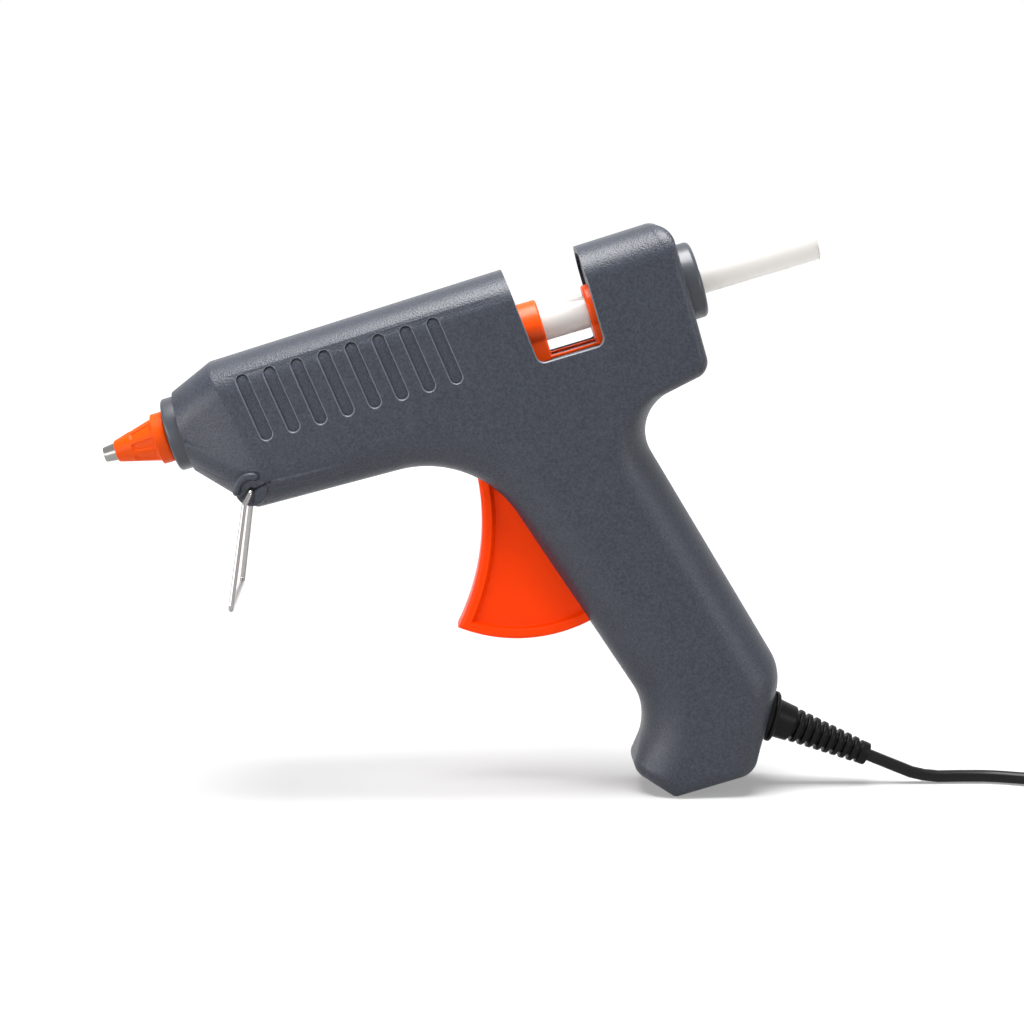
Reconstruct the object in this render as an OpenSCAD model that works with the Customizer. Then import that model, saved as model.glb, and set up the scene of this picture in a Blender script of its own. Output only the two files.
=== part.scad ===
// Pistol-type hot glue gun for 11 mm sticks, with its feed works, heater, wire stand and mains cord.
// The gun is drawn in its own frame: x along the barrel from the nozzle tip, z across it, the stick's
// axis at z = 0 and the parting plane of the shells at y = 0. place() then tilts it onto its grip.

/* [Attitude] */
// Angle of the barrel, nose down, when the gun stands on the tip of its grip
tilt = 16.4; // [10:0.1:24]

/* [Housing] */
// Half of the housing's width
half_w = 19; // [17:0.1:22]
// Wall of the two shells
wall = 2.2; // [1.6:0.1:2.8]
// Where the nose starts, from the nozzle tip
nose_x = 29; // [27:0.1:32]
// Radius of the nose at its front
nose_r = 14.3; // [13:0.1:16]
// Where the nose ends and the barrel starts
shoulder_x = 44; // [41:0.1:46]
// Height of the barrel's top over the stick's axis at the shoulder
barrel_top = 20.4; // [19:0.1:23]
// Depth of the barrel's underside below the stick's axis at the shoulder
barrel_bottom = 31.4; // [29:0.1:34]
// Where the rear face of the housing is
rear_x = 208.8; // [206:0.1:212]
// Height of the rear block's top over the stick's axis
rear_top = 23.2; // [21:0.1:26]
// Depth of the rear block's underside
rear_bottom = 30; // [28:0.1:33]
// Height of the rounding along the top edges of the barrel and the rear block
top_round = 12; // [8:0.1:14]
// Height of the chamfered side along the barrel's lower edges
low_round = 13; // [8:0.1:15]
// Rounding of the rear face's edges
rear_round = 3; // [2.6:0.1:5]
// Rounding of the grip's front and back
grip_round = 16; // [10:0.1:18]
// Rounding of the grip's base
base_round = 5; // [3:0.1:7]
// Length of the grip's flat base
base_len = 27.1; // [22:0.1:30]
// Depth of the grip's base below the stick's axis
base_z = 171.3; // [164:0.1:180]

/* [Window] */
// Front edge of the window at the stick's axis
window_front = 152; // [150:0.1:154]
// Rear edge of the window
window_rear = 176.4; // [174:0.1:179]
// Depth of the window's sill below the stick's axis
window_sill = 10.8; // [10.5:0.1:12]
// Lean of the window's front edge
window_lean = 5.5; // [0:0.1:8]
// Corner radius at the sill
window_corner = 2.8; // [1:0.1:4]

/* [Side slots] */
// Number of recessed slots on each side
slot_count = 8; // [2:1:9]
// Centre of the first slot
slot_first = 56.2; // [54:0.1:60]
// Distance from slot to slot
slot_pitch = 9.62; // [7:0.01:10]
// Length of a slot
slot_len = 23.8; // [16:0.1:25]
// Width of a slot
slot_w = 4.2; // [2:0.1:5]
// Depth of a slot
slot_depth = 1.1; // [0.4:0.1:1.4]
// Lean of the slots, lower end to the rear
slot_lean = 7; // [0:0.1:12]

/* [Glue stick] */
// Diameter of the glue stick
stick_d = 11.2; // [10.8:0.1:11.6]
// Length of the glue stick
stick_len = 143; // [120:1:160]
// Where the stick's rear end is
stick_end = 257; // [250:1:264]
// Feed of the stick that is shown outside
stick_feed = 42; // [30:1:44]

/* [Nozzle] */
// Diameter of the nozzle's tip
tip_d = 5.2; // [4.4:0.1:6]
// Bare metal length of the tip
tip_len = 4.3; // [3:0.1:6]
// Outlet of the nozzle
outlet_d = 2; // [1.4:0.1:2.6]
// Diameter of the nozzle's body
nozzle_d = 11.2; // [10:0.1:12]
// Diameter of the nozzle's threaded stub
thread_d = 8; // [7:0.1:9]
// Diameter of the sleeve's rear ring
sleeve_d = 17.8; // [17:0.1:19]
// Diameter of the sleeve's cone at its wide end
cone_d = 15.2; // [14:0.1:16]
// Length of the sleeve's cone
cone_len = 14.3; // [12:0.1:15]
// Number of flutes on the cone
flutes = 8; // [4:1:12]
// Diameter of the nozzle collar
collar_d = 25.7; // [24:0.1:27]
// Length of the collar in front of the housing
collar_len = 5; // [4:0.1:5.2]

/* [Melt chamber] */
// Outer diameter of the chamber
chamber_d = 17; // [15.6:0.1:18]
// Diameter of the chamber's neck
neck_d = 13; // [11.6:0.1:14]
// Rear end of the chamber's full diameter
chamber_end = 100; // [98:0.1:102]
// Length of the spigot for the inlet sleeve
spigot_len = 8; // [6:0.1:10]
// Radial wall of the inlet sleeve outside the spigot
inlet_wall = 2; // [1.4:0.1:2.6]
// Length of the inlet sleeve
inlet_len = 19; // [16:0.1:20]
// Width of the heater pocket
pocket_w = 18; // [16:0.1:20]
// Height of the slot in the heater pocket
pocket_h = 7; // [6.6:0.1:8]
// Length of the heater pocket
pocket_len = 42; // [36:1:44]
// Thickness of the heater's ceramic plate
ptc_t = 3; // [2.4:0.1:3.4]
// Thickness of an electrode plate
electrode_t = 0.6; // [0.4:0.1:0.8]

/* [Feed carriage] */
// Outer radius of the carriage's rings
ring_r = 9.2; // [8.6:0.1:9.6]
// Front ring's rear face
front_ring_end = 158.2; // [157:0.1:160]
// Rear ring's front face
rear_ring_start = 174.5; // [173:0.1:176]
// Length of the front ring
front_ring_len = 10.7; // [9:0.1:12]
// Length of the rear ring
rear_ring_len = 9.5; // [8:0.1:11]
// Thickness of the floor plate
floor_t = 1.6; // [1.2:0.1:2]
// Half width of the floor plate
floor_w = 8; // [6:0.1:9]
// Thickness of the tongue that the trigger drives
tongue_t = 4.8; // [4:0.1:5]

/* [Trigger] */
// Trigger pivot, along the barrel
pivot_x = 134.6; // [133:0.1:136]
// Trigger pivot, below the stick's axis
pivot_z = 49.8; // [49:0.1:50.6]
// Radius of the blade's bottom arc about the pivot
blade_r = 55.2; // [52:0.1:57]
// Radius of the hollow in the blade's front
front_r = 82.6; // [76:0.1:90]
// Distance from the pivot to the centre of the hollow
front_reach = 96.1; // [95:0.1:97]
// Angle of the hollow's centre over the pivot
front_ang = 7.7; // [7:0.1:8.4]
// Thickness of the blade's rim
trigger_t = 13; // [11:0.1:14]
// Thickness of the blade's web
web_t = 7; // [4:0.1:9]
// Width of the rim along the blade's front and bottom
rim_w = 3; // [2:0.1:4]
// Travel of the trigger
squeeze = 22; // [16:0.5:24]
// Diameter of the trigger pin
pin_d = 4; // [3:0.1:5]
// Diameter of the link pin
link_d = 3; // [2.4:0.1:3.4]

/* [Wire stand] */
// Diameter of the wire
wire_d = 1.8; // [1.4:0.1:2.2]
// Stand pivot, along the barrel
stand_x = 46.8; // [45.5:0.1:49]
// Stand pivot, below the stick's axis
stand_z = 24.3; // [23:0.1:25]
// Length of the stand's legs
stand_len = 40.4; // [34:0.1:46]
// Angle of the stand in front of the barrel's normal
stand_ang = 26.4; // [20:0.1:40]
// Distance between the legs at the pivot
stand_top_w = 42; // [41.8:0.1:44]
// Distance between the legs at the foot
stand_foot_w = 55; // [42:0.1:58]
// Radius of the stand's bosses
stand_boss_r = 5.6; // [4:0.1:6]

/* [Mains cord] */
// Diameter of the mains cord
cord_d = 4.4; // [4:0.1:5]
// Gland's seat on the grip, along the barrel
gland_x = 197.8; // [196.6:0.1:199]
// Gland's seat on the grip, below the stick's axis
gland_z = 157.2; // [155:0.1:159]
// Angle of the gland below the barrel's direction
gland_ang = 39; // [34:0.5:42]
// Diameter of the gland's flange
gland_d = 18; // [16:0.1:19]
// Diameter of the gland's tail at its root
tail_d = 12.4; // [11.4:0.1:13.4]
// Diameter of the gland's tail at its end
tail_end_d = 8.2; // [7.6:0.1:9]
// Length of the gland outside the grip
gland_len = 37; // [30:0.5:42]
// Number of ribs on the gland's tail
ribs = 8; // [4:1:10]
// Turns of the put-away cord
coil_turns = 8; // [4:1:8]
// Layers of the coil
coil_layers = 4; // [2:2:4]
// Radius of the coil at the middle of its turns
coil_r = 24; // [22:0.5:27]
// Distance from turn to turn, side by side and layer on layer
coil_pitch = 4.95; // [4.9:0.05:5.4]

/* [Plug] */
// Diameter of a plug pin
prong_d = 4; // [3.8:0.1:4.8]
// Length of a plug pin
prong_len = 19; // [17:0.5:20]
// Distance between the plug pins
prong_gap = 19; // [18:0.5:20]
// Width of the plug
plug_w = 27; // [25:0.5:32]
// Length of the plug's body
plug_len = 34; // [28:0.5:40]
// Thickness of the plug
plug_t = 13.6; // [12:0.1:16]

/* [Fasteners and fits] */
// Radius of the screw bosses
boss_r = 3.8; // [3.6:0.1:4.2]
// Diameter of the housing screws
screw_d = 3; // [2.5:0.1:3.4]
// Diameter of a screw head
head_d = 5; // [4.6:0.1:5.4]
// Gap between pieces that slide
slide_gap = 0.4; // [0.3:0.05:0.5]
// Radial gap of a pin that turns
pin_gap = 0.05; // [0.02:0.01:0.09]
// Gap between pieces that are seated in each other
seat_gap = 0.05; // [0.02:0.01:0.1]

/* [Hidden] */
$fn = 48;

slate = [0.31, 0.32, 0.36];
slate_smooth = [0.27, 0.28, 0.32];
orange = [0.95, 0.28, 0.03];
steel = [0.75, 0.75, 0.76];
zinc = [0.62, 0.62, 0.63];
brass = [0.78, 0.62, 0.3];
black = [0.1, 0.1, 0.11];
silicone = [0.7, 0.25, 0.18];
mica = [0.82, 0.78, 0.66];
ceramic = [0.5, 0.5, 0.52];
clear_glue = [0.92, 0.92, 0.9];

// Plane geometry: an outline runs clockwise in x and z, so the material lies to the right of each edge
function unit(v) = v / norm(v);
function right_of(p, q) = let (d = unit(q - p)) [d[1], -d[0]];
function turned(v, ang) = [v[0] * cos(ang) - v[1] * sin(ang), v[0] * sin(ang) + v[1] * cos(ang)];
function turn_at(p, q, r) =
  let (u = unit(q - p), v = unit(r - q))
  atan2(u[0] * v[1] - u[1] * v[0], u * v);
function inset_corner(p, q, r, d1, d2) =
  let (n1 = right_of(p, q), n2 = right_of(q, r), c = n1 * n2)
  1 - c * c < 0.0005 ? q + n1 * (d1 + d2) / 2 : q + ((d1 - d2 * c) * n1 + (d2 - d1 * c) * n2) / (1 - c * c);
function corner_arc(p, q, r, rad, steps) =
  steps == 0 ? [q] :
  let (t = turn_at(p, q, r), reach = rad * tan(abs(t) / 2), from = q + unit(p - q) * reach)
  let (centre = from + turned(unit(q - p), t > 0 ? 90 : -90) * rad)
  [for (k = [0 : steps]) centre + turned(from - centre, t * k / steps)];
function lap(list, i) = list[(i + len(list)) % len(list)];

// Outline of the housing's side. Each corner has its place, its radius, how far the side's rounding
// reaches in from the edge before it and after it, and how deep that rounding is across the width. A last
// value, where there is one, is the depth that the rounding has once it is round the corner
arc_step = 20;
crease_min = 0.4;
nose_slope_top = atan((barrel_top - nose_r) / (shoulder_x - nose_x));
nose_slope_low = atan((barrel_bottom - nose_r) / (shoulder_x - nose_x));
nose_meet = 0.6;
barrel_ry = 15;
low_ry = 9;
grip_ry = 17;
rear_ry = 3;
base_ry = 5;
base_front = 156.2;
grip_back_x = 178.6;
grip_back_z = 38.6;
barrel_fall = 2.9;
corners = [
  [nose_x, nose_r, 0, 0, (nose_r - nose_meet) * cos(nose_slope_top), nose_r - 1],
  [shoulder_x, barrel_top, 3, top_round, top_round, barrel_ry],
  [window_front + 4, barrel_rise(window_front + 4), 0, top_round, top_round, barrel_ry],
  [rear_x, rear_top, 7, top_round, rear_round, barrel_ry, rear_ry],
  [rear_x, -rear_bottom, 6, rear_round, base_round, base_ry],
  [grip_back_x, -grip_back_z, 15, base_round, grip_round, grip_ry],
  [205.4, -141.6, 18, grip_round, 10, grip_ry],
  [base_front + base_len + 1.4, -base_z, 8, 10, base_round, base_ry],
  [base_front, -base_z, 2.5, base_round, base_round + 1, base_ry],
  [144.2, -159.3, 5.5, base_round + 1, grip_round, 12],
  [156.2, -140.8, 22, grip_round, grip_round, grip_ry],
  [123.8, -barrel_bottom - barrel_fall, 38, grip_round, low_round, low_ry + 3],
  [shoulder_x + 2.2, -barrel_bottom, 3, low_round, low_round, low_ry],
  [nose_x, -nose_r, 0, (nose_r - nose_meet) * cos(nose_slope_low), 0, nose_r - 1]
];
corner_n = len(corners);
function spot(i) = let (c = lap(corners, i)) [c[0], c[1]];
function steps_at(i) =
  corners[i][2] == 0 ? 0 : max(2, ceil(abs(turn_at(spot(i - 1), spot(i), spot(i + 1))) / arc_step));
function convex_at(i) = turn_at(spot(i - 1), spot(i), spot(i + 1)) < 0;

// The outline drawn in by a wall on every edge
function wall_spots(g) = [for (i = [0 : corner_n - 1]) inset_corner(spot(i - 1), spot(i), spot(i + 1), g, g)];
function wall_rad(i, g) = convex_at(i) ? max(corners[i][2] - g, crease_min) : corners[i][2] + g;
function outline(g) =
  let (s = wall_spots(g))
  [for (i = [0 : corner_n - 1]) each corner_arc(lap(s, i - 1), s[i], lap(s, i + 1), wall_rad(i, g), steps_at(i))];

// The crease where the side's rounding ends and its flat begins
crease_spots = [
  for (i = [0 : corner_n - 1]) inset_corner(spot(i - 1), spot(i), spot(i + 1), corners[i][3], corners[i][4])
];
function crease_rad(i) =
  let (reach = (corners[i][3] + corners[i][4]) / 2)
  convex_at(i) ? max(corners[i][2] - reach, crease_min) : corners[i][2] + reach;
crease = [
  for (i = [0 : corner_n - 1])
    each corner_arc(lap(crease_spots, i - 1), crease_spots[i], lap(crease_spots, i + 1), crease_rad(i), steps_at(i))
];
corner_of = [for (i = [0 : corner_n - 1]) each [for (k = [0 : steps_at(i)]) i]];
side_n = len(crease);
function is_nose(k) = corner_of[k] == 0 || corner_of[k] == corner_n - 1;
function half_width(k) = is_nose(k) ? nose_r : half_w;
function depth_round(i, share) =
  let (c = corners[i])
  len(c) > 6 ? c[5] + (c[6] - c[5]) * share : c[5];
function round_depth(k) =
  let (i = corner_of[k])
  min(depth_round(i, (k - start_of(i)) / max(steps_at(i), 1)), half_width(k) - 1);

// One skin of a shell: rings of points from the parting plane out over the rounding to the flat side
ring_steps = 4;
rows = ring_steps + 2;
function skin(edge, g) = [
  for (j = [0 : rows - 1])
    for (k = [0 : side_n - 1])
      let (w = half_width(k) - g, ry = max(round_depth(k) - g, 0.5), s = 90 * max(j - 1, 0) / ring_steps)
      let (end = crease[k] + (is_nose(k) ? [g, 0] : [0, 0]))
      let (p = edge[k] + (end - edge[k]) * (1 - cos(s)))
      [p[0], j == 0 ? 0 : w - ry + ry * sin(s), p[1]]
];
function skin_faces(base, out) = [
  for (j = [0 : rows - 2])
    for (k = [0 : side_n - 1])
      let (a = base + j * side_n + k, b = base + j * side_n + (k + 1) % side_n, c = b + side_n, d = a + side_n)
      each (out ? [[a, d, c], [a, c, b]] : [[a, c, d], [a, b, c]])
];
first_body = steps_at(0) + 1;
last_body = side_n - 2 - steps_at(corner_n - 1);
// The flat side in three parts, each of which its first point sees whole: barrel, waist of the grip, base
function start_of(i) = len([for (c = corner_of) if (c < i) c]);
hub_k = start_of(2);
waist_k = start_of(6);
thumb_k = start_of(11);
function side_flats(base) =
  let (r = base + (rows - 1) * side_n)
  [
    [
      for (k = [hub_k : waist_k - 1]) r + k, for (k = [thumb_k : last_body]) r + k,
      for (k = [first_body : hub_k - 1]) r + k
    ],
    [r + waist_k - 1, r + waist_k, r + thumb_k - 2, r + thumb_k - 1, r + thumb_k],
    [for (k = [waist_k : thumb_k - 2]) r + k]
  ];
function nose_flat(base) =
  let (r = base + (rows - 1) * side_n)
  [[r + last_body, r + side_n - 1, r], [r + last_body, r, r + first_body]];
function backward(list) = [for (i = [len(list) - 1 : -1 : 0]) list[i]];
function turned_over(face) = [face[0], for (i = [len(face) - 1 : -1 : 1]) face[i]];
outer_edge = outline(0);
inner_edge = outline(wall);
shell_points = concat(skin(outer_edge, 0), skin(inner_edge, wall));
inner_base = rows * side_n;
shell_faces = concat(
  skin_faces(0, true),
  skin_faces(inner_base, false),
  [for (f = concat(side_flats(0), nose_flat(0))) turned_over(f)],
  side_flats(inner_base),
  nose_flat(inner_base),
  [
    for (k = [0 : side_n - 1])
      let (m = (k + 1) % side_n)
      each [[k, m, inner_base + m], [k, inner_base + m, inner_base + k]]
  ]
);

// Where the tilted gun stands: its lowest corner at z = 0, the middle of its length at x = 0
function tilted(x, z) = [x * cos(tilt) - z * sin(tilt), x * sin(tilt) + z * cos(tilt)];
lift = -min([for (p = outer_edge) tilted(p[0], p[1])[1]]);
gland_end = [gland_x + gland_len * cos(gland_ang), -gland_z - gland_len * sin(gland_ang)];
front_reach_x = -tip_d / 2 * sin(tilt);
rear_reach_x = tilted(gland_end[0], gland_end[1])[0] + tail_end_d / 2 * sin(gland_ang - tilt);
shift = -(front_reach_x + rear_reach_x) / 2;
module place() translate([shift, 0, lift]) rotate([0, -tilt, 0]) children();
function placed(x, y, z) = let (t = tilted(x, z)) [t[0] + shift, y, t[1] + lift];

// Solids turned about the barrel, along it, or across the gun
module turned_about_barrel() rotate([0, 90, 0]) rotate_extrude() children();
module along(x, len) translate([x, 0, 0]) rotate([90, 0, 90]) linear_extrude(len) children();
module across(y, len) translate([0, y + len, 0]) rotate([90, 0, 0]) linear_extrude(len) children();
module rod(x, len, r) translate([x, 0, 0]) rotate([0, 90, 0]) cylinder(h = len, r = r);
module cross_pin(x, z, y, len, r) translate([x, y + len, z]) rotate([90, 0, 0]) cylinder(h = len, r = r);

// Section of the barrel inside its walls, for the webs and the chamber supports
function barrel_rise(x) = barrel_top + (rear_top - barrel_top) * (x - shoulder_x) / (rear_x - shoulder_x);
function barrel_floor(x) = barrel_bottom + barrel_fall * (x - shoulder_x) / (123.8 - shoulder_x);
function arc_part(cy, cz, ry, rz, from, to) = [
  for (k = [0 : 4])
    let (s = from + (to - from) * k / 4)
    [cy + ry * cos(s), cz + rz * sin(s)]
];
function half_section(top, low, w, tr, tz, lr, lz, g) = concat(
  arc_part(w - tr, top - tz, tr - g, tz - g, 90, 0),
  arc_part(w - lr, -low + lz, lr - g, lz - g, 0, -90)
);
module section(x, g, top_ry, top_rz, edge_ry = low_ry, edge_rz = low_round) {
  w = half_w - 0.3;
  pts = half_section(barrel_rise(x), barrel_floor(x), w, top_ry, top_rz, edge_ry, edge_rz, g);
  polygon(concat(pts, [for (p = backward(pts)) [-p[0], p[1]]]));
}

// Housing: shells with screw bosses, webs, the window, the side slots and the trigger's slot
// Each screw's place, and how far short of the half width its boss ends
screws = [
  [62, -25.4, 4.6], [64, 12.6, 3.8], [114, 13.4, 3.8], [199, -22, 1.2],
  [197, 13.4, 3.6], [163.2, -120.5, 1.7], [168, -158, 1.6]
];
seat_y = 6;
rim_gap = 0.05;
screw_depth = 9;
web_t_front = 1.8;
front_web_x = window_front - 2.2 - web_t_front;
rear_web_x = window_rear + 1;
rail_top = window_sill + 0.7 + slide_gap;
rail_t = 1.5;
post_x = 176;
post_z = 21;
post_r = 2;
clamp_at = 15;
clamp_half = 6.6;
clamp_post_r = 2.8;
cord_r = cord_d / 2;
gland_dir = [cos(gland_ang), -sin(gland_ang)];
gland_side = [sin(gland_ang), cos(gland_ang)];
function gland_spot(g, s) = [gland_x, -gland_z] + gland_dir * g + gland_side * s;
inside_w = half_w - wall;

module shell() polyhedron(shell_points, shell_faces, convexity = 8);

module screw_bosses() {
  for (s = screws) cross_pin(s[0], s[1], rim_gap, half_w - s[2] - rim_gap, boss_r);
}

module pin_bosses() {
  hub = trigger_t / 2 + slide_gap;
  cross_pin(pivot_x, -pivot_z, hub, pin_half + 0.7 - hub, pin_d / 2 + 2);
  cross_pin(post_x, -post_z, rim_gap, inside_w + 0.8 - rim_gap, post_r);
}

module stand_boss() cross_pin(stand_x, -stand_z, stand_boss_y, stand_boss_len, stand_boss_r);
stand_boss_len = 6;
stand_boss_y = stand_top_w / 2 - wire_d / 2 - slide_gap - stand_boss_len;

module webs() {
  intersection() {
    union() {
      along(front_web_x, web_t_front) section(front_web_x, wall / 2, barrel_ry, top_round);
      along(rear_web_x, web_t_front) section(rear_web_x, wall / 2, barrel_ry, top_round);
    }
    translate([0, 0, -window_sill - 4]) cube([rear_x, half_w, 60]);
  }
  rail_y = tongue_t / 2 + slide_gap;
  translate([front_web_x - 16, rail_y, -rail_top - rail_t])
    cube([rear_web_x - front_web_x + 16 + web_t_front, half_w - rail_y - wall * 0.6, rail_t]);
}

module window_outline() {
  lean = tan(window_lean);
  low = -window_sill;
  far = 40;
  pts = [
    [window_front - lean * far, far], [window_rear, far],
    each corner_arc([window_rear, far], [window_rear, low], [window_front - lean * low, low], window_corner, 5),
    each corner_arc([window_rear, low], [window_front - lean * low, low],
      [window_front - lean * far, far], window_corner, 5)
  ];
  polygon(pts);
}

module slot_outline() {
  straight = slot_len - slot_w;
  square([slot_w, straight], center = true);
  for (s = [-1, 1]) translate([0, s * straight / 2]) circle(d = slot_w);
}

module side_slots() {
  for (i = [0 : slot_count - 1])
    translate([slot_first + i * slot_pitch, half_w + 2, 2.6])
      rotate([90, -slot_lean, 0])
        linear_extrude(2 + slot_depth) slot_outline();
}

module blade_room() {
  pivot = [pivot_x, -pivot_z];
  difference() {
    intersection() {
      translate(pivot) circle(r = blade_r + slide_gap + 0.2, $fn = 96);
      translate([pivot_x - 60, -pivot_z - 70]) square([95, 76]);
    }
    translate(front_centre) circle(r = front_r - slide_gap - 0.2, $fn = 96);
  }
}
front_centre = [pivot_x - front_reach * cos(front_ang), -pivot_z + front_reach * sin(front_ang)];

module housing_cuts() {
  across(-1, half_w + 8) window_outline();
  side_slots();
  across(-1, trigger_t / 2 + slide_gap + 1) blade_room();
  rod(front_web_x - 20, rear_web_x - front_web_x + 30, ring_r + slide_gap);
  translate([front_web_x - 20, -1, -rail_top])
    cube([rear_web_x - front_web_x + 30, floor_w + slide_gap + 1, rail_top]);
  rod(nose_x - 2, 10, collar_spigot_r + seat_gap);
  rod(rear_x - 6, 10, inlet_neck_r + seat_gap);
  translate([gland_x, 0, -gland_z]) rotate([0, 90 + gland_ang, 0])
    translate([0, 0, -12]) cylinder(h = 16, r = gland_shoulder_r + 0.2);
  cross_pin(pivot_x, -pivot_z, -1, pin_half + 1 + seat_gap, pin_d / 2 + seat_gap);
  cross_pin(stand_x, -stand_z, stand_in_y - 1, 20, wire_d / 2 + pin_gap);
}
pin_half = 10.9;
stand_in_y = 13;
collar_spigot_r = 10;
inlet_neck_r = 11;
gland_shoulder_r = 8.2;

module housing_half() {
  difference() {
    union() {
      shell();
      screw_bosses();
      pin_bosses();
      stand_boss();
      webs();
    }
    housing_cuts();
  }
}

module housing_right() color(slate) place() {
  difference() {
    housing_half();
    for (s = screws) {
      cross_pin(s[0], s[1], -1, 10, screw_d / 2 + 0.15);
      cross_pin(s[0], s[1], seat_y, half_w, head_d / 2 + 0.2);
    }
  }
}

module housing_left() color(slate) place() mirror([0, 1, 0]) {
  difference() {
    union() {
      housing_half();
      for (s = [-1, 1])
        let (p = gland_spot(-clamp_at, s * clamp_half))
        cross_pin(p[0], p[1], -cord_r, inside_w + cord_r + 0.6, clamp_post_r);
    }
    for (s = screws) cross_pin(s[0], s[1], -1, screw_depth + 1, screw_d / 2 + seat_gap);
    for (s = [-1, 1])
      let (p = gland_spot(-clamp_at, s * clamp_half))
      cross_pin(p[0], p[1], -cord_r - 1, 11, clamp_screw_r + seat_gap);
  }
}

// Nose and nozzle
sleeve_x = tip_len;
cone_end = sleeve_x + cone_len;
sleeve_end = nose_x - collar_len - 0.4;
chamber_x = nose_x - collar_len - 0.1;

module nozzle_collar() color(slate_smooth) place() turned_about_barrel() {
  r = collar_d / 2;
  soft = 0.9;
  polygon(concat(
    [[neck_d / 2 + 0.3, nose_x - collar_len]],
    corner_arc([0, nose_x - collar_len], [r, nose_x - collar_len], [r, nose_x], soft, 4),
    [[r, nose_x], [collar_spigot_r, nose_x], [collar_spigot_r, nose_x + 4], [neck_d / 2 + 0.3, nose_x + 4]]
  ));
}

module nozzle() color(brass) place() turned_about_barrel()
  polygon([
    [outlet_d / 2, 0], [tip_d / 2, 0], [tip_d / 2 + 0.5, sleeve_x], [nozzle_d / 2, cone_end - 1],
    [nozzle_d / 2, chamber_x], [thread_d / 2, chamber_x], [thread_d / 2, chamber_x + 7],
    [thread_d / 2 - 1.4, chamber_x + 7], [thread_d / 2 - 1.4, 7], [outlet_d / 2, 3]
  ]);

module nozzle_sleeve() color(orange) place() {
  skin = 1;
  difference() {
    turned_about_barrel() polygon([
      [tip_d / 2 + 0.5 + seat_gap, sleeve_x], [tip_d / 2 + 0.5 + skin * 0.6, sleeve_x], [cone_d / 2, cone_end],
      [cone_d / 2, cone_end + 0.4], [sleeve_d / 2, cone_end + 0.6], [sleeve_d / 2, sleeve_end],
      [nozzle_d / 2 + seat_gap, sleeve_end], [nozzle_d / 2 + seat_gap, cone_end - 1]
    ]);
    slope = atan((cone_d / 2 - tip_d / 2 - 1.1) / cone_len);
    for (i = [0 : flutes - 1])
      rotate([360 * (i + 0.5) / flutes, 0, 0])
        translate([cone_end - 8, -1.2, cone_d / 2 - 0.5])
          rotate([0, -slope, 0]) translate([0, 0, -2.2]) cube([8.6, 2.4, 3]);
  }
}

module rear_collar() color(slate_smooth) place() turned_about_barrel() {
  r = 13.4;
  out = 5.8;
  bore = stick_d / 2 + 0.8;
  polygon(concat(
    [[bore, rear_x - 4.6], [r - 1, rear_x - 4.6], [r - 1, rear_x - wall - 0.1]],
    [[inlet_neck_r, rear_x - wall - 0.1], [inlet_neck_r, rear_x], [r, rear_x]],
    corner_arc([r, rear_x], [r, rear_x + out], [0, rear_x + out], 1.8, 4),
    corner_arc([r, rear_x + out], [bore, rear_x + out], [bore, rear_x], 1.2, 3)
  ));
}

// Heating: chamber, supports, inlet sleeve and the heater in its pocket
bore_r = stick_d / 2 + slide_gap;
pocket_x = shoulder_x + 9;
pocket_top = chamber_d / 2 + 2;
heater_len = pocket_len - 8;

module melt_chamber() color(zinc) place() difference() {
  union() {
    turned_about_barrel() polygon([
      [thread_d / 2 + seat_gap, chamber_x], [neck_d / 2, chamber_x], [neck_d / 2, shoulder_x + 3],
      [chamber_d / 2, shoulder_x + 3], [chamber_d / 2, chamber_end], [chamber_d / 2 - 1, chamber_end],
      [chamber_d / 2 - 1, chamber_end + spigot_len], [bore_r, chamber_end + spigot_len],
      [bore_r, shoulder_x + 17], [thread_d / 2 + seat_gap, shoulder_x + 7]
    ]);
    difference() {
      translate([pocket_x, -pocket_w / 2, -pocket_top - pocket_h - 1.6])
        cube([pocket_len, pocket_w, pocket_h + pocket_top - 3]);
      rod(pocket_x - 1, pocket_len + 2, chamber_d / 2 - 0.6);
    }
  }
  translate([pocket_x - 1, -pocket_w / 2 + 1.6, -pocket_top - pocket_h])
    cube([pocket_len + 2, pocket_w - 3.2, pocket_h]);
}

module chamber_support(x, edge_ry, edge_rz) difference() {
  along(x, 2) section(x, wall + 0.5, barrel_ry, top_round, edge_ry, edge_rz);
  rod(x - 1, 4, chamber_d / 2 + seat_gap);
}
module front_support() color(mica) place() difference() {
  chamber_support(shoulder_x + 4.4, low_ry, low_round);
  for (y = [-half_w, stand_in_y - 0.4]) cross_pin(stand_x, -stand_z, y, half_w - stand_in_y + 0.4, stand_boss_r + 0.4);
}
module rear_support() color(mica) place() {
  x = pocket_x + pocket_len + 1.5;
  low = low_electrode_z + electrode_t / 2 + crimp_r + slide_gap;
  side = tab_y + crimp_r + slide_gap;
  difference() {
    chamber_support(x, low_ry + 3.5, low_round + 2);
    translate([x - 1, -side, -low]) cube([4, 2 * side, low - chamber_d / 4]);
  }
}

module inlet_sleeve() color(silicone) place() {
  r0 = chamber_d / 2 - 1 + seat_gap;
  turned_about_barrel() polygon([
    [r0, chamber_end + 0.1], [r0 + inlet_wall, chamber_end + 0.1],
    [r0 + inlet_wall, chamber_end + inlet_len], [bore_r, chamber_end + inlet_len],
    [bore_r, chamber_end + spigot_len + 0.1], [r0, chamber_end + spigot_len + 0.1]
  ]);
}

module sleeve_clamp() color(steel) place() {
  r0 = chamber_d / 2 - 1 + 2 * seat_gap + inlet_wall;
  difference() {
    union() {
      rod(chamber_end + 3.6, 4, r0 + 1);
      translate([chamber_end + 3.6, -2, r0 - 0.2]) cube([4, 4, 3.2]);
    }
    rod(chamber_end, 8, r0);
    translate([chamber_end, -0.5, 0]) cube([8, 1, 30]);
  }
}

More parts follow.
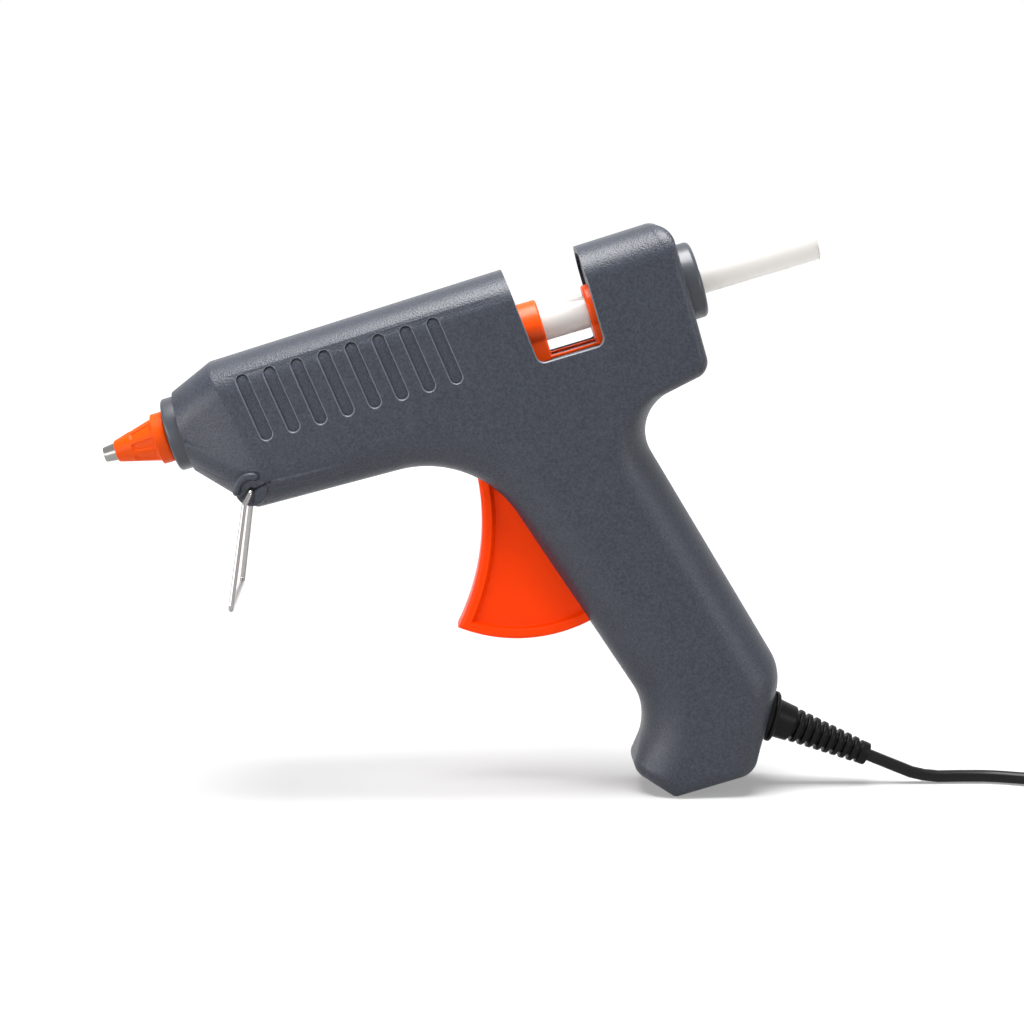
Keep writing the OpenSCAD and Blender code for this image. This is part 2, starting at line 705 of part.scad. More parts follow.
stack_top = pocket_top + 0.3;
module heater_plate(z, t, w) translate([pocket_x + 3, -w / 2, -z - t]) cube([heater_len, w, t]);
module electrode(z, y) {
  heater_plate(z, electrode_t, pocket_w - 4.4);
  translate([pocket_x + 3 + heater_len - 0.1, y - 1.7, -z - electrode_t]) cube([tab_len, 3.4, electrode_t]);
}
tab_len = 8.2;
low_electrode_z = stack_top + electrode_t + ptc_t + 0.2;
module heater_electrodes() color(brass) place() {
  electrode(stack_top, -tab_y);
  electrode(low_electrode_z, tab_y);
}
tab_y = 4;
module ptc_heater() color(ceramic) place() heater_plate(stack_top + electrode_t + 0.1, ptc_t, pocket_w - 5);
module heater_clip() color(steel) place() {
  from = low_electrode_z + electrode_t + 0.1;
  translate([pocket_x + 1, -3, -pocket_top - pocket_h + 0.1])
    cube([pocket_len - 4, 6, pocket_top + pocket_h - from - 0.1]);
}

// Feed: stick, carriage, trigger and their pins
module glue_stick() color(clear_glue) place() rod(stick_end - stick_len, stick_len, stick_d / 2);

arm_half = squeeze / 2;
link_z = 19;
arm_len = (pivot_z - link_z) / cos(arm_half);
link_x = pivot_x + arm_len * sin(arm_half);
feed = 2 * arm_len * sin(arm_half);
floor_top = window_sill - 0.9;
carriage_front = link_x - 5.4;
carriage_rear = rear_ring_start + rear_ring_len;
ring_bore = stick_d / 2 + 0.6;
floor_strip = 2;

module ring(x, len) {
  rod(x, len, ring_r);
  translate([x, -floor_w, -floor_top - floor_t]) cube([len, 2 * floor_w, floor_top + floor_t - ring_r * 0.49]);
}
module carriage() color(orange) place() difference() {
  union() {
    ring(front_ring_end - front_ring_len, front_ring_len);
    ring(rear_ring_start, rear_ring_len);
    translate([carriage_front, -floor_w, -floor_top - floor_t])
      cube([carriage_rear - carriage_front, 2 * floor_w, floor_t]);
    translate([carriage_front, -tongue_t / 2, -link_z - 5])
      cube([10.8, tongue_t, link_z + 5 - floor_top - floor_t / 2]);
  }
  rod(carriage_front - 1, carriage_rear - carriage_front + 2, ring_bore);
  translate([front_ring_end, -floor_w + floor_strip, -floor_top - floor_t - 1])
    cube([rear_ring_start - front_ring_end, 2 * (floor_w - floor_strip), floor_t + 2]);
  across(-tongue_t, 2 * tongue_t) {
    for (z = [-link_z, -link_z + 0.8]) translate([link_x, z]) circle(r = link_d / 2 + slide_gap);
    translate([link_x - link_d / 2 - slide_gap, -link_z]) square([link_d + 2 * slide_gap, 0.8]);
  }
}

module stick_gripper() color(steel) place() {
  tip = stick_d / 2 + slide_gap;
  translate([front_ring_end - front_ring_len - 1.3, -3, -floor_top]) cube([1.2, 6, floor_top - tip]);
}

module blade_outline(r, hollow_r) difference() {
  intersection() {
    translate([pivot_x, -pivot_z]) circle(r = r, $fn = 96);
    polygon([
      [pivot_x - 70, -pivot_z + 3], [pivot_x + 4.2, -pivot_z + 3], [pivot_x + 4.2, -pivot_z - 8],
      [pivot_x + 1.3 * blade_r * sin(blade_rear), -pivot_z - 1.3 * blade_r * cos(blade_rear)],
      [pivot_x - 70, -pivot_z - 1.3 * blade_r]
    ]);
  }
  translate(front_centre) circle(r = hollow_r, $fn = 96);
}
blade_rear = 17;

module trigger() color(orange) place() difference() {
  union() {
    difference() {
      across(-trigger_t / 2, trigger_t) blade_outline(blade_r, front_r);
      for (s = [-1, 1])
        across(s * (trigger_t + web_t) / 4 - (trigger_t - web_t) / 4, (trigger_t - web_t) / 2)
          blade_outline(blade_r - rim_w, front_r + rim_w);
    }
    cross_pin(pivot_x, -pivot_z, -trigger_t / 2, trigger_t, pin_d / 2 + 3.4);
    for (s = [-1, 1])
      across(s * (trigger_t / 4 + fork_in / 2) - fork_t / 2, fork_t) {
        translate([link_x, -link_z]) circle(r = fork_r);
        translate([pivot_x, -pivot_z]) circle(r = pin_d / 2 + 3.4);
        translate([pivot_x, -pivot_z]) rotate(90 - arm_half) translate([0, -fork_r]) square([arm_len, 2 * fork_r]);
      }
  }
  cross_pin(pivot_x, -pivot_z, -trigger_t, 2 * trigger_t, pin_d / 2 + pin_gap);
  cross_pin(link_x, -link_z, -trigger_t, 2 * trigger_t, link_d / 2 + seat_gap);
}
fork_r = 3.7;
fork_in = tongue_t / 2 + slide_gap;
fork_t = trigger_t / 2 - fork_in;

module trigger_pin() color(steel) place() cross_pin(pivot_x, -pivot_z, -pin_half, 2 * pin_half, pin_d / 2);
module link_pin() color(steel) place() cross_pin(link_x, -link_z, -trigger_t / 2, trigger_t, link_d / 2);

module return_spring() color(steel) place() {
  start = carriage_front + 10.8 + 0.3;
  eye = post_r + 1.2;
  translate([0, 0, -post_z]) {
    difference() {
      rod(start, post_x - eye - start + 0.4, 2.4);
      rod(start + 3, post_x - eye - start - 5, 1.6);
    }
    difference() {
      cross_pin(post_x, 0, -0.7, 1.4, eye);
      cross_pin(post_x, 0, -2, 4, post_r + seat_gap);
    }
  }
}

// Wire stand: pivot ends, legs that spread to the foot, and the foot bar
module wire(p, q) {
  d = q - p;
  translate(p) rotate([0, acos(d[2] / norm(d)), atan2(d[1], d[0])]) cylinder(h = norm(d), d = wire_d, $fn = 24);
}
knee_d = wire_d * 1.08;
module wire_stand() color(steel) place() {
  foot = [stand_x - stand_len * sin(stand_ang), -stand_z - stand_len * cos(stand_ang)];
  for (s = [-1, 1]) {
    top = [stand_x, s * stand_top_w / 2, -stand_z];
    low = [foot[0], s * stand_foot_w / 2, foot[1]];
    wire([stand_x, s * stand_in_y, -stand_z], top);
    translate(top) sphere(d = knee_d, $fn = 24);
    wire(top, low);
    translate(low) sphere(d = knee_d, $fn = 24);
  }
  wire([foot[0], -stand_foot_w / 2, foot[1]], [foot[0], stand_foot_w / 2, foot[1]]);
}

// Screws
module screw(y_tip, y_head, r, head_r, head_t) {
  rotate([-90, 0, 0]) {
    translate([0, 0, y_tip]) cylinder(h = y_head - y_tip + 0.2, r = r);
    difference() {
      translate([0, 0, y_head]) cylinder(h = head_t, r = head_r);
      translate([-head_r, -0.4, y_head + head_t - 0.8]) cube([2 * head_r, 0.8, 2]);
      translate([-0.4, -head_r, y_head + head_t - 0.8]) cube([0.8, 2 * head_r, 2]);
    }
  }
}
module housing_screws() color(steel) place()
  for (s = screws) translate([s[0], 0, s[1]]) screw(-screw_depth + 0.5, seat_y, screw_d / 2, head_d / 2, 2.2);

clamp_screw_r = 1.2;
clamp_t = 2.4;
module clamp_screws() color(steel) place()
  for (s = [-1, 1])
    let (p = gland_spot(-clamp_at, s * clamp_half))
    translate([p[0], 0, p[1]]) screw(-7, cord_r + 0.1 + clamp_t, clamp_screw_r, 2.4, 1.8);

// Cord inside the grip: gland, clamp, inner cord and leads
module about_gland() place() translate([gland_x, 0, -gland_z]) rotate([0, 90 + gland_ang, 0]) children();

tail_start = 7.4;
tail_end_ring = 4.6;
groove_w = 1.1;
groove_d = 1;
function tail_r(g) =
  (tail_d + (tail_end_d - tail_d) * (g - tail_start) / (gland_len - tail_start)) / 2;
rib_pitch = (gland_len - tail_end_ring - tail_start) / ribs;
module cord_gland() color(black) about_gland() rotate_extrude() {
  ring_pts = [
    for (i = [0 : ribs - 1])
      let (g = tail_start + i * rib_pitch)
      each [
        [tail_r(g) - groove_d, g], [tail_r(g) - groove_d, g + groove_w],
        [tail_r(g + groove_w), g + groove_w], [tail_r(g + rib_pitch), g + rib_pitch]
      ]
  ];
  last = gland_len - tail_end_ring;
  polygon(concat(
    [[0, -8.5], [9.2, -8.5], [9.2, -6.6], [6, -6.6], [6, -4], [gland_shoulder_r, -4], [gland_shoulder_r, 0.3]],
    [[gland_d / 2, 0.3], [gland_d / 2, 1.6], [gland_d / 2 - 0.5, 2], [tail_d / 2 + 0.6, 2]],
    [[tail_d / 2 + 0.2, tail_start]],
    ring_pts,
    [[tail_r(last) - groove_d, last], [tail_r(last) - groove_d, last + groove_w]],
    [[tail_end_d / 2, last + groove_w], [tail_end_d / 2, gland_len], [0, gland_len]]
  ));
}

inner_end = 24;
module inner_cord() color(black) about_gland() translate([0, 0, -inner_end])
  cylinder(h = inner_end - 8.5, d = cord_d);

module cord_clamp() color(black) place() {
  p = gland_spot(-clamp_at, 0);
  difference() {
    translate([p[0], cord_r + 0.1, p[1]]) rotate([0, gland_ang, 0])
      translate([-3.2, 0, -clamp_half - 3.4]) cube([6.4, clamp_t, 2 * clamp_half + 6.8]);
    for (s = [-1, 1])
      let (q = gland_spot(-clamp_at, s * clamp_half))
      cross_pin(q[0], q[1], 0, 20, clamp_screw_r + 0.15);
  }
}

// A tube swept along a list of points, in triangles. ref is a direction that the path never takes
function ahead(path, i) = unit(path[min(i + 1, len(path) - 1)] - path[max(i - 1, 0)]);
function tube_points(path, r, n, ref) = [
  for (i = [0 : len(path) - 1])
    let (t = ahead(path, i), s = unit(cross(ref, t)), u = cross(t, s))
    for (j = [0 : n - 1]) path[i] + r * (cos(360 * j / n) * s + sin(360 * j / n) * u)
];
function tube_faces(rings, n) = concat(
  [for (j = [1 : n - 2]) [0, j, j + 1]],
  [
    for (i = [0 : rings - 2])
      for (j = [0 : n - 1])
        let (a = i * n + j, b = i * n + (j + 1) % n)
        each [[a, a + n, b + n], [a, b + n, b]]
  ],
  [for (j = [1 : n - 2]) let (e = (rings - 1) * n) [e, e + j + 1, e + j]]
);
module tube(path, r, n, ref) polyhedron(tube_points(path, r, n, ref), tube_faces(len(path), n), convexity = 6);

lead_r = 0.8;
lead_start = gland_spot(-inner_end - 0.1, 0);
tab_end = pocket_x + 3 + heater_len + tab_len;
crimp_len = 6;
crimp_r = 2;
function lead_route(side, tab_z) = [
  [lead_start[0], side * 1.1, lead_start[1]], [lead_start[0] - 4, side * 1.6, lead_start[1] + 3.4],
  [172, side * 5, -126], [171, side * 9, -112], [169, side * 11.5, -92], [166, side * 12.5, -72],
  [160, side * 13, -54], [150, side * 13, -40], [138, side * 12.8, -31.5], [124, side * 12, -27],
  [tab_end + crimp_len + 8, side * 8, -tab_z - 5], [tab_end + crimp_len + 2, side * 4.6, -tab_z - 0.4],
  [tab_end + crimp_len - 1, side * tab_y, -tab_z]
];
module lead(side, tab_z) place() tube(lead_route(side, tab_z), lead_r, 6, [0, 1, 0.02]);
module live_lead() color("brown") lead(-1, stack_top + electrode_t / 2);
module neutral_lead() color("steelblue") lead(1, low_electrode_z + electrode_t / 2);
module lead_crimps() color(brass) place() {
  for (c = [[-1, stack_top + electrode_t / 2], [1, low_electrode_z + electrode_t / 2]])
    translate([tab_end - 3, c[0] * tab_y, -c[1]]) difference() {
      rotate([0, 90, 0]) cylinder(h = crimp_len + 2, r = crimp_r);
      translate([-1, -1.75, -electrode_t / 2 - 0.05]) cube([4.2, 3.5, electrode_t + 0.1]);
      translate([3, 0, 0]) rotate([0, 90, 0]) cylinder(h = crimp_len, r = lead_r + seat_gap);
    }
}

// Free cord: from the gland down to the surface, along it, into the coil, and on to the plug
out = placed(gland_end[0], 0, gland_end[1]);
coil_lift = 1;
coil_z = cord_r + coil_lift;
coil_x = 236;
coil_out_r = coil_r + coil_pitch * coil_turns / coil_layers / 2;
coil_y = 12;
coil_in_y = coil_y - coil_out_r;
run_bend = 172;
run_bend_len = 52;
function run_spot(x, z) = [x, coil_in_y * eased((x - run_bend) / run_bend_len), z];
run_dir = [cos(gland_ang - tilt), 0, -sin(gland_ang - tilt)];
cord_route = [
  out, out + run_dir * cord_d, out + run_dir * 9, out + run_dir * 13.4, out + run_dir * 17.4,
  out + [20.6, 0, -7.8], out + [26, 0, -8.4], run_spot(168, 2.5),
  each [for (x = [176 : 4 : 204]) run_spot(x, 2.5 + 0.5 * eased((x - 184) / 24))],
  run_spot(208, 3), run_spot(212, coil_z), run_spot(218, coil_z), run_spot(224, coil_z),
  run_spot(coil_x - cord_d, coil_z)
];
module mains_cord() color(black) tube(cord_route, cord_r, 8, [0, 1, 0]);

rings_per_turn = 24;
coil_n = rings_per_turn * coil_turns;
layer_turns = coil_turns / coil_layers;
function eased(t) = let (c = max(0, min(1, t))) c * c * (3 - 2 * c);
function coil_spot(t) =
  let (layer = floor(t / layer_turns), part = t / layer_turns - layer)
  let (inward = layer % 2 == 0 ? part : 1 - part)
  let (r = coil_out_r - coil_pitch * layer_turns * inward)
  let (climb = [for (i = [1 : coil_layers - 1]) eased((t - i * layer_turns) * 2 + 0.5)])
  [
    coil_x + r * sin(360 * t), coil_y - r * cos(360 * t),
    coil_z + coil_pitch * (climb * [for (c = climb) 1])
  ];
coil_last = coil_spot(coil_turns - 0.0001);
coil_path = concat(
  [[coil_x - cord_d, coil_in_y, coil_z]],
  [for (i = [0 : coil_n]) coil_spot(min(i / rings_per_turn, coil_turns - 0.0001))],
  [coil_last + [cord_d, 0, 0]]
);
coil_gap = min([
  for (i = [0 : len(coil_path) - 1])
    for (j = [i + 12 : 1 : len(coil_path) - 1]) norm(coil_path[i] - coil_path[j])
]) - cord_d;
echo(coil_least_gap = coil_gap);
module cord_coil() color(black) tube(coil_path, cord_r, 6, [0, 0, 1]);

tie_t = 0.8;
tie_w = 6;
module cord_tie() color([0.16, 0.16, 0.17]) {
  span = coil_pitch * layer_turns + cord_d + 1;
  tall = coil_pitch * (coil_layers - 1) + cord_d + 0.7;
  low = coil_lift - 0.2;
  translate([coil_x, coil_y, 0]) rotate(180) translate([coil_r, 0, 0]) difference() {
    translate([-span / 2 - tie_t, -tie_w / 2, low - tie_t]) cube([span + 2 * tie_t, tie_w, tall + 2 * tie_t]);
    translate([-span / 2, -tie_w, low]) cube([span, 2 * tie_w, tall]);
  }
}

plug_boot = 14;
plug_x = coil_last[0] + 66;
plug_y = coil_last[1];
plug_z = plug_t / 2;
plug_entry = plug_x - plug_boot;
function plug_step(t) = [
  (coil_last[0] + 2 * cord_d) * (1 - t) + (plug_entry - cord_d) * t, plug_y,
  coil_last[2] + (plug_z - coil_last[2]) * eased(t)
];
plug_route = [
  coil_last + [cord_d, 0, 0], coil_last + [2 * cord_d, 0, 0],
  each [for (i = [1 : 5]) plug_step(i / 6)],
  [plug_entry - cord_d, plug_y, plug_z], [plug_entry, plug_y, plug_z]
];
module plug_lead() color(black) tube(plug_route, cord_r, 8, [0, 1, 0]);

module plug_body() color(black) {
  side = plug_w / 2;
  translate([plug_x, plug_y, 0]) rotate(-90) linear_extrude(plug_t) polygon(concat(
    [[-side * 0.5, 0], [side * 0.5, 0]],
    corner_arc([side * 0.5, 0], [side, plug_len * 0.45], [side, plug_len], 10, 4),
    corner_arc([side, 0], [side, plug_len], [-side, plug_len], 2, 3),
    corner_arc([side, plug_len], [-side, plug_len], [-side, 0], 2, 3),
    corner_arc([-side, plug_len], [-side, plug_len * 0.45], [-side * 0.5, 0], 10, 4)
  ));
  translate([plug_entry, plug_y, plug_z]) rotate([0, 90, 0])
    cylinder(h = plug_boot + 1, r1 = cord_r + 0.8, r2 = plug_t / 2 - 0.6);
}
module plug_pins() color(steel)
  for (s = [-1, 1])
    translate([plug_x + plug_len, plug_y + s * prong_gap / 2, plug_z]) rotate([0, 90, 0])
      cylinder(h = prong_len, d = prong_d);

housing_left();
housing_right();
nozzle_collar();
rear_collar();
nozzle_sleeve();
nozzle();
melt_chamber();
front_support();
rear_support();
inlet_sleeve();
sleeve_clamp();
ptc_heater();
heater_electrodes();
heater_clip();
carriage();
stick_gripper();
trigger();
trigger_pin();
link_pin();
return_spring();
wire_stand();
housing_screws();
cord_gland();
cord_clamp();
clamp_screws();
inner_cord();
live_lead();
neutral_lead();
lead_crimps();
glue_stick();
mains_cord();
cord_coil();
cord_tie();
plug_lead();
plug_body();
plug_pins();
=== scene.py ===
# %% [markdown]
# # A hot glue gun, dressed
# The imported solids come in first. They are the fixed frame: every piece made here lies where a
# solid lies, in metres, and moves with the same body.

# %% The frame
import math
import bpy
import bmesh
import numpy as np
from mathutils import Matrix


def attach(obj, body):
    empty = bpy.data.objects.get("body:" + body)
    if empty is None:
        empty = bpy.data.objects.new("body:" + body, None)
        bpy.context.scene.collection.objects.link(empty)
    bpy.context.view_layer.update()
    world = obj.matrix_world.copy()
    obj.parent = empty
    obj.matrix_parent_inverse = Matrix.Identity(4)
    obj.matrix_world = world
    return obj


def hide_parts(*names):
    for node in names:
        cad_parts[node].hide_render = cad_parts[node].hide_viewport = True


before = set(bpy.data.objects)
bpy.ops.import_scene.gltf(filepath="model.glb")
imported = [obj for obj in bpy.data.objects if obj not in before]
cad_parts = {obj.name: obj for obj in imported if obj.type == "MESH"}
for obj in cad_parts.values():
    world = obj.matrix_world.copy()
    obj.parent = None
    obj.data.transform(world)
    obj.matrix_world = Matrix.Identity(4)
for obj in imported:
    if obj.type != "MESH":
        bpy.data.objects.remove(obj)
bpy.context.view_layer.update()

scene = bpy.context.scene
scene.view_settings.view_transform = "Standard"


def put(name, data):
    """An object of the scene, at the origin, from a mesh, a curve, a lamp or a camera."""
    made = bpy.data.objects.new(name, data)
    scene.collection.objects.link(made)
    return made


# %% [markdown]
# The gun is easiest to describe along its own barrel: x from the nozzle tip to the rear, z across
# the barrel with the glue stick's axis at 0, y across the width. The photographed gun stands on the
# tip of its grip with the barrel nose-down, so each point is turned by that tilt and moved, once.

# %% From the barrel's own frame to the room
MM = 0.001
TILT = math.radians(16.4)
SHIFT, LIFT = -134.568, 120.037


def xyz(x, y, z):
    """Three coordinates, each a number or an array, spread over one array of points (..., 3)."""
    return np.stack(np.broadcast_arrays(x, y, z), -1)


def placed(points):
    """Points (..., 3) of the barrel's frame in mm to the room in m: a turn about y, then a move."""
    p = np.asarray(points, float)
    x = p[..., 0] * math.cos(TILT) - p[..., 2] * math.sin(TILT) + SHIFT
    z = p[..., 0] * math.sin(TILT) + p[..., 2] * math.cos(TILT) + LIFT
    return xyz(x, p[..., 1], z) * MM


def in_metres(points):
    """Points that are in the room already, from mm to m."""
    return np.asarray(points, float) * MM


print("nozzle tip at", placed([0, 0, 0]).round(4))

# %% [markdown]
# The camera looks almost square at the gun's left side from about 0.85 m, a little from above and
# a little from the left. Its place follows from where the barrel, the grip and the trigger fall in
# the picture, so it is worked out from two angles, a distance and the point that it looks at.

# %% Camera
YAW, PITCH, FAR = math.radians(2.2), math.radians(8.7), 0.846
AIM = np.array([0.006764, 0.0, 0.099209])
FOCAL_PX, PICTURE_PX, SENSOR = 2415, 1024, 36


def standing(side, back, place):
    """The matrix of a camera or a lamp: its x goes along side, its z along back, from a place."""
    columns = np.column_stack([side, np.cross(back, side), back, place])
    return Matrix(np.vstack([columns, [0, 0, 0, 1]]).tolist())


ahead = np.array([
    math.sin(YAW) * math.cos(PITCH), math.cos(YAW) * math.cos(PITCH), -math.sin(PITCH)])
aside = np.array([math.cos(YAW), -math.sin(YAW), 0.0])
spot = AIM - FAR * ahead
camera = put("camera", bpy.data.cameras.new("camera"))
camera.data.sensor_width = SENSOR
camera.data.lens = FOCAL_PX / PICTURE_PX * SENSOR
camera.data.clip_start = 0.01
camera.matrix_world = standing(aside, -ahead, spot)
scene.camera = camera
print("camera at", spot.round(4), "lens", round(camera.data.lens, 1))

# %% [markdown]
# Every finish is a small net of shader nodes. Written as plain node calls that soon gets long, so
# one class wraps a socket: sums and products of sockets add their Math nodes by themselves, and one
# method makes any other node from its type, its settings and what goes into its sockets.

# %% Shader sums


class Link:
    """An output socket of a material. Operators on it add Math nodes; node() adds any other."""

    def __init__(self, tree, socket=None):
        self.tree, self.socket = tree, socket

    def node(self, kind, settings=None, sockets=None, output=0):
        made = self.tree.nodes.new(kind)
        for key, value in (settings or {}).items():
            setattr(made, key, value)
        for key, value in (sockets or {}).items():
            if isinstance(value, Link):
                self.tree.links.new(value.socket, made.inputs[key])
            else:
                made.inputs[key].default_value = value
        return Link(self.tree, made.outputs[output] if len(made.outputs) else None)

    def maths(self, operation, a, b):
        return self.node("ShaderNodeMath", {"operation": operation}, {0: a, 1: b})

    def __add__(self, other):
        return self.maths("ADD", self, other)

    def __sub__(self, other):
        return self.maths("SUBTRACT", self, other)

    def __mul__(self, other):
        return self.maths("MULTIPLY", self, other)


def srgb(r, g, b):
    """A colour read off as 0 to 255 to the linear light that shaders work in."""
    c = np.array([r, g, b]) / 255
    return tuple(np.where(c <= 0.04045, c / 12.92, ((c + 0.055) / 1.055) ** 2.4))


def noise(net, scale, detail=2.0, stretch=None):
    """Noise from 0 to 1 on the object's own metres, features about 1 / scale across, stretched."""
    at = net.node("ShaderNodeTexCoord", output="Object")
    if stretch:
        at = net.node("ShaderNodeVectorMath", {"operation": "MULTIPLY"}, {0: at, 1: stretch})
    return net.node("ShaderNodeTexNoise", {}, {"Vector": at, "Scale": scale, "Detail": detail})


def between(net, mask, dark, light):
    """A colour that goes from dark to light as the mask goes from 0 to 1."""
    a, b = (c if isinstance(c, Link) else (*c, 1) for c in (dark, light))
    return net.node("ShaderNodeMix", {"data_type": "RGBA"}, {0: mask, 6: a, 7: b}, output=2)


def finish(name, colour, rough, bump, depth, strength, **fixed):
    """A Principled material: colour, rough and the bump's height are functions of the net."""
    material = bpy.data.materials.new(name)
    material.use_nodes = True
    tree = material.node_tree
    shader = next(n for n in tree.nodes if n.type == "BSDF_PRINCIPLED")
    net = Link(tree)
    raised = {"Strength": strength, "Distance": depth, "Height": bump(net)}
    varied = {"Base Color": colour(net), "Roughness": rough(net),
              "Normal": net.node("ShaderNodeBump", {}, raised)}
    for key, made in varied.items():
        tree.links.new(made.socket, shader.inputs[key])
    for key, value in fixed.items():
        shader.inputs[key.replace("_", " ")].default_value = value
    return material


def tinted(colour, spread, scale, detail=3.0, stretch=None):
    """A colour that wanders by a share of itself over patches about 1 / scale across."""
    dark = tuple(v * (1 - spread) for v in colour)
    light = tuple(min(1, v * (1 + spread)) for v in colour)
    return lambda net: between(net, noise(net, scale, detail, stretch), dark, light)


def uneven(middle, spread, scale, stretch=None):
    """A roughness that wanders round its middle value."""
    return lambda net: noise(net, scale, 3.0, stretch) * (2 * spread) + (middle - spread)


def painted(mesh, material):
    """The mesh with this finish and no other."""
    mesh.materials.clear()
    mesh.materials.append(material)


def plain(name, colour, tint, rough, bump, depth, strength, **fixed):
    """A finish from numbers: colour and wander, roughness, the bump's noise, depth, strength."""
    return finish(name, tinted(srgb(*colour), *tint), uneven(*rough),
                  lambda net: noise(net, *bump), depth, strength, **fixed)


print("shader helpers ready")

# %% [markdown]
# The housing is glass-filled nylon from a spark-eroded mould, so it has a fine leathery grain that
# breaks each highlight into specks. Rounded cells and finer noise make that grain as a bump. The
# two collars come from polished mould inserts and are smooth. The orange pieces are glossier.

# %% Finishes of the plastics


def grain(net):
    """Leathery grain: rounded cells of about 0.5 mm, broken up by finer noise."""
    at = net.node("ShaderNodeTexCoord", output="Object")
    smooth = {"feature": "SMOOTH_F1"}
    cells = net.node("ShaderNodeTexVoronoi", smooth, {"Vector": at, "Scale": 1900.0})
    return cells * 0.7 + noise(net, 3000.0, 3.0) * 0.5


def grained_slate(net):
    """The body colour: slow patches, lighter specks, and a painted highlight on bevelled edges."""
    specks = noise(net, 1500.0, 2.0) * 2.6 - 0.8
    patches = specks * 0.75 + noise(net, 60.0, 3.0) * 0.25
    slate = between(net, patches, srgb(18, 23, 33), srgb(54, 59, 71))
    painted_edge_highlight = net.node("ShaderNodeAttribute", {"attribute_name": "painted_edge_highlight"}, output="Fac")
    # Bevel faces are mixed half way to a pale grey: a painted highlight along every cut edge.
    return between(net, painted_edge_highlight * 0.5, slate, srgb(124, 128, 138))


housing_finish = finish("housing_grain", grained_slate, uneven(0.4, 0.06, 900.0), grain, 2e-4, 0.7,
                        Specular_IOR_Level=0.44)
collar_finish = plain("collar_smooth", (52, 55, 63), (0.06, 90), (0.34, 0.05, 260), (900,),
                      5e-5, 0.15)
orange_finish = plain("orange_gloss", (250, 62, 0), (0.05, 70), (0.33, 0.06, 300), (700,),
                      6e-5, 0.15, Specular_IOR_Level=0.09)
# The rings take the trigger's orange painted lighter, as painted top light, and a stronger gloss.
ring_finish_painted_lit = plain("ring_gloss_painted_lit", (250, 80, 4), (0.05, 70), (0.36, 0.06, 300), (700,),
                    6e-5, 0.15, Specular_IOR_Level=0.25)
sleeve_finish = plain("sleeve_silicone", (215, 72, 2), (0.06, 160), (0.42, 0.06, 500), (1500, 4),
                      6e-5, 0.25, Specular_IOR_Level=0.13)
rubber_finish = plain("gland_rubber", (4, 4, 6), (0.12, 240), (0.38, 0.06, 700), (2600, 3),
                      5e-5, 0.3, Specular_IOR_Level=0.14)
cord_finish = plain("cord_sheath", (7, 7, 9), (0.1, 300), (0.32, 0.06, 500), (900, 3),
                    8e-5, 0.25, Specular_IOR_Level=0.2)
print("plastics: housing, collars, trigger, carriage, sleeve, gland and cord")

# %% [markdown]
# Metals show the room, so their own colour stays plain and the wear sits in the roughness: drawing
# lines along a wire, turning marks round a pin. The glue stick is clear resin with a milky body.
# Solids that stay as they are, inside the closed gun, only get a new finish.

# %% Finishes of the metals, the glue and the hidden parts
steel_finish = plain("steel_bright", (150, 149, 148), (0.1, 420), (0.2, 0.08, 1800), (2600, 3),
                     3e-5, 0.2, Metallic=1.0)
wire_finish = plain("wire_drawn", (152, 149, 148), (0.05, 300), (0.16, 0.04, 900), (2600, 2),
                    2e-5, 0.05, Metallic=1.0)
tip_finish = plain("tip_nickel", (136, 134, 132), (0.12, 300, 2, (0.2, 1, 1)),
                   (0.22, 0.1, 900, (0.15, 1, 1)), (1500, 3, (0.1, 1, 1)), 5e-5, 0.25, Metallic=1.0)
zinc_finish = plain("zinc_cast", (150, 150, 152), (0.12, 200), (0.5, 0.1, 700), (1200, 4),
                    1e-4, 0.4, Metallic=1.0)
brass_finish = plain("brass_rolled", (205, 168, 96), (0.1, 260), (0.3, 0.08, 900), (1400, 3),
                     5e-5, 0.25, Metallic=1.0)
glue_finish = plain("glue_clear", (236, 233, 229), (0.02, 120), (0.34, 0.05, 160), (90,),
                    1e-4, 0.1, Transmission_Weight=0.52, IOR=1.46)
silicone_finish = plain("inlet_silicone", (190, 92, 70), (0.08, 200), (0.55, 0.06, 600), (1600,),
                        6e-5, 0.3)
mica_finish = plain("mica_board", (214, 204, 176), (0.16, 420, 6), (0.4, 0.12, 900), (1300, 5),
                    1e-4, 0.4)
ceramic_finish = plain("heater_ceramic", (120, 120, 124), (0.1, 500), (0.6, 0.08, 900), (2200, 4),
                       6e-5, 0.3)
brown_finish, blue_finish = (
    plain(name, colour, (0.08, 300), (0.4, 0.06, 500), (1200,), 5e-5, 0.2)
    for name, colour in (("lead_brown", (96, 54, 32)), ("lead_blue", (44, 92, 150))))
FINISH_OF_NODES = {
    zinc_finish: ["melt_chamber"], mica_finish: ["front_support", "rear_support"],
    silicone_finish: ["inlet_sleeve"], ceramic_finish: ["ptc_heater"],
    brass_finish: ["heater_electrodes", "lead_crimps"], rubber_finish: ["cord_clamp"],
    steel_finish: ["sleeve_clamp", "heater_clip", "stick_gripper", "trigger_pin", "link_pin",
                   "return_spring", "housing_screws", "clamp_screws"]}
for material, names in FINISH_OF_NODES.items():
    for name in names:
        painted(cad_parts[name].data, material)
print("solids that stay, with a new finish:", sum(map(len, FINISH_OF_NODES.values())))

# %% [markdown]
# Nearly every new piece is one of three surfaces: a grid of points from two parameters, a profile
# turned about an axis, or a profile carried along a path. The helpers here make those as whole
# arrays. Corners of profiles are rounded by true arcs, found from the two edges that meet there.

# %% Surfaces from arrays


def unit(v):
    """A vector, or an array of them, at length 1."""
    return v / np.linalg.norm(v, axis=-1, keepdims=True)


def heading(degrees):
    """The unit vector at an angle in degrees, or an array of them."""
    a = np.radians(degrees)
    return np.stack([np.cos(a), np.sin(a)], -1)


def angles(n):
    """Evenly spread angles round a full turn."""
    return np.linspace(0, 2 * math.pi, n, endpoint=False)


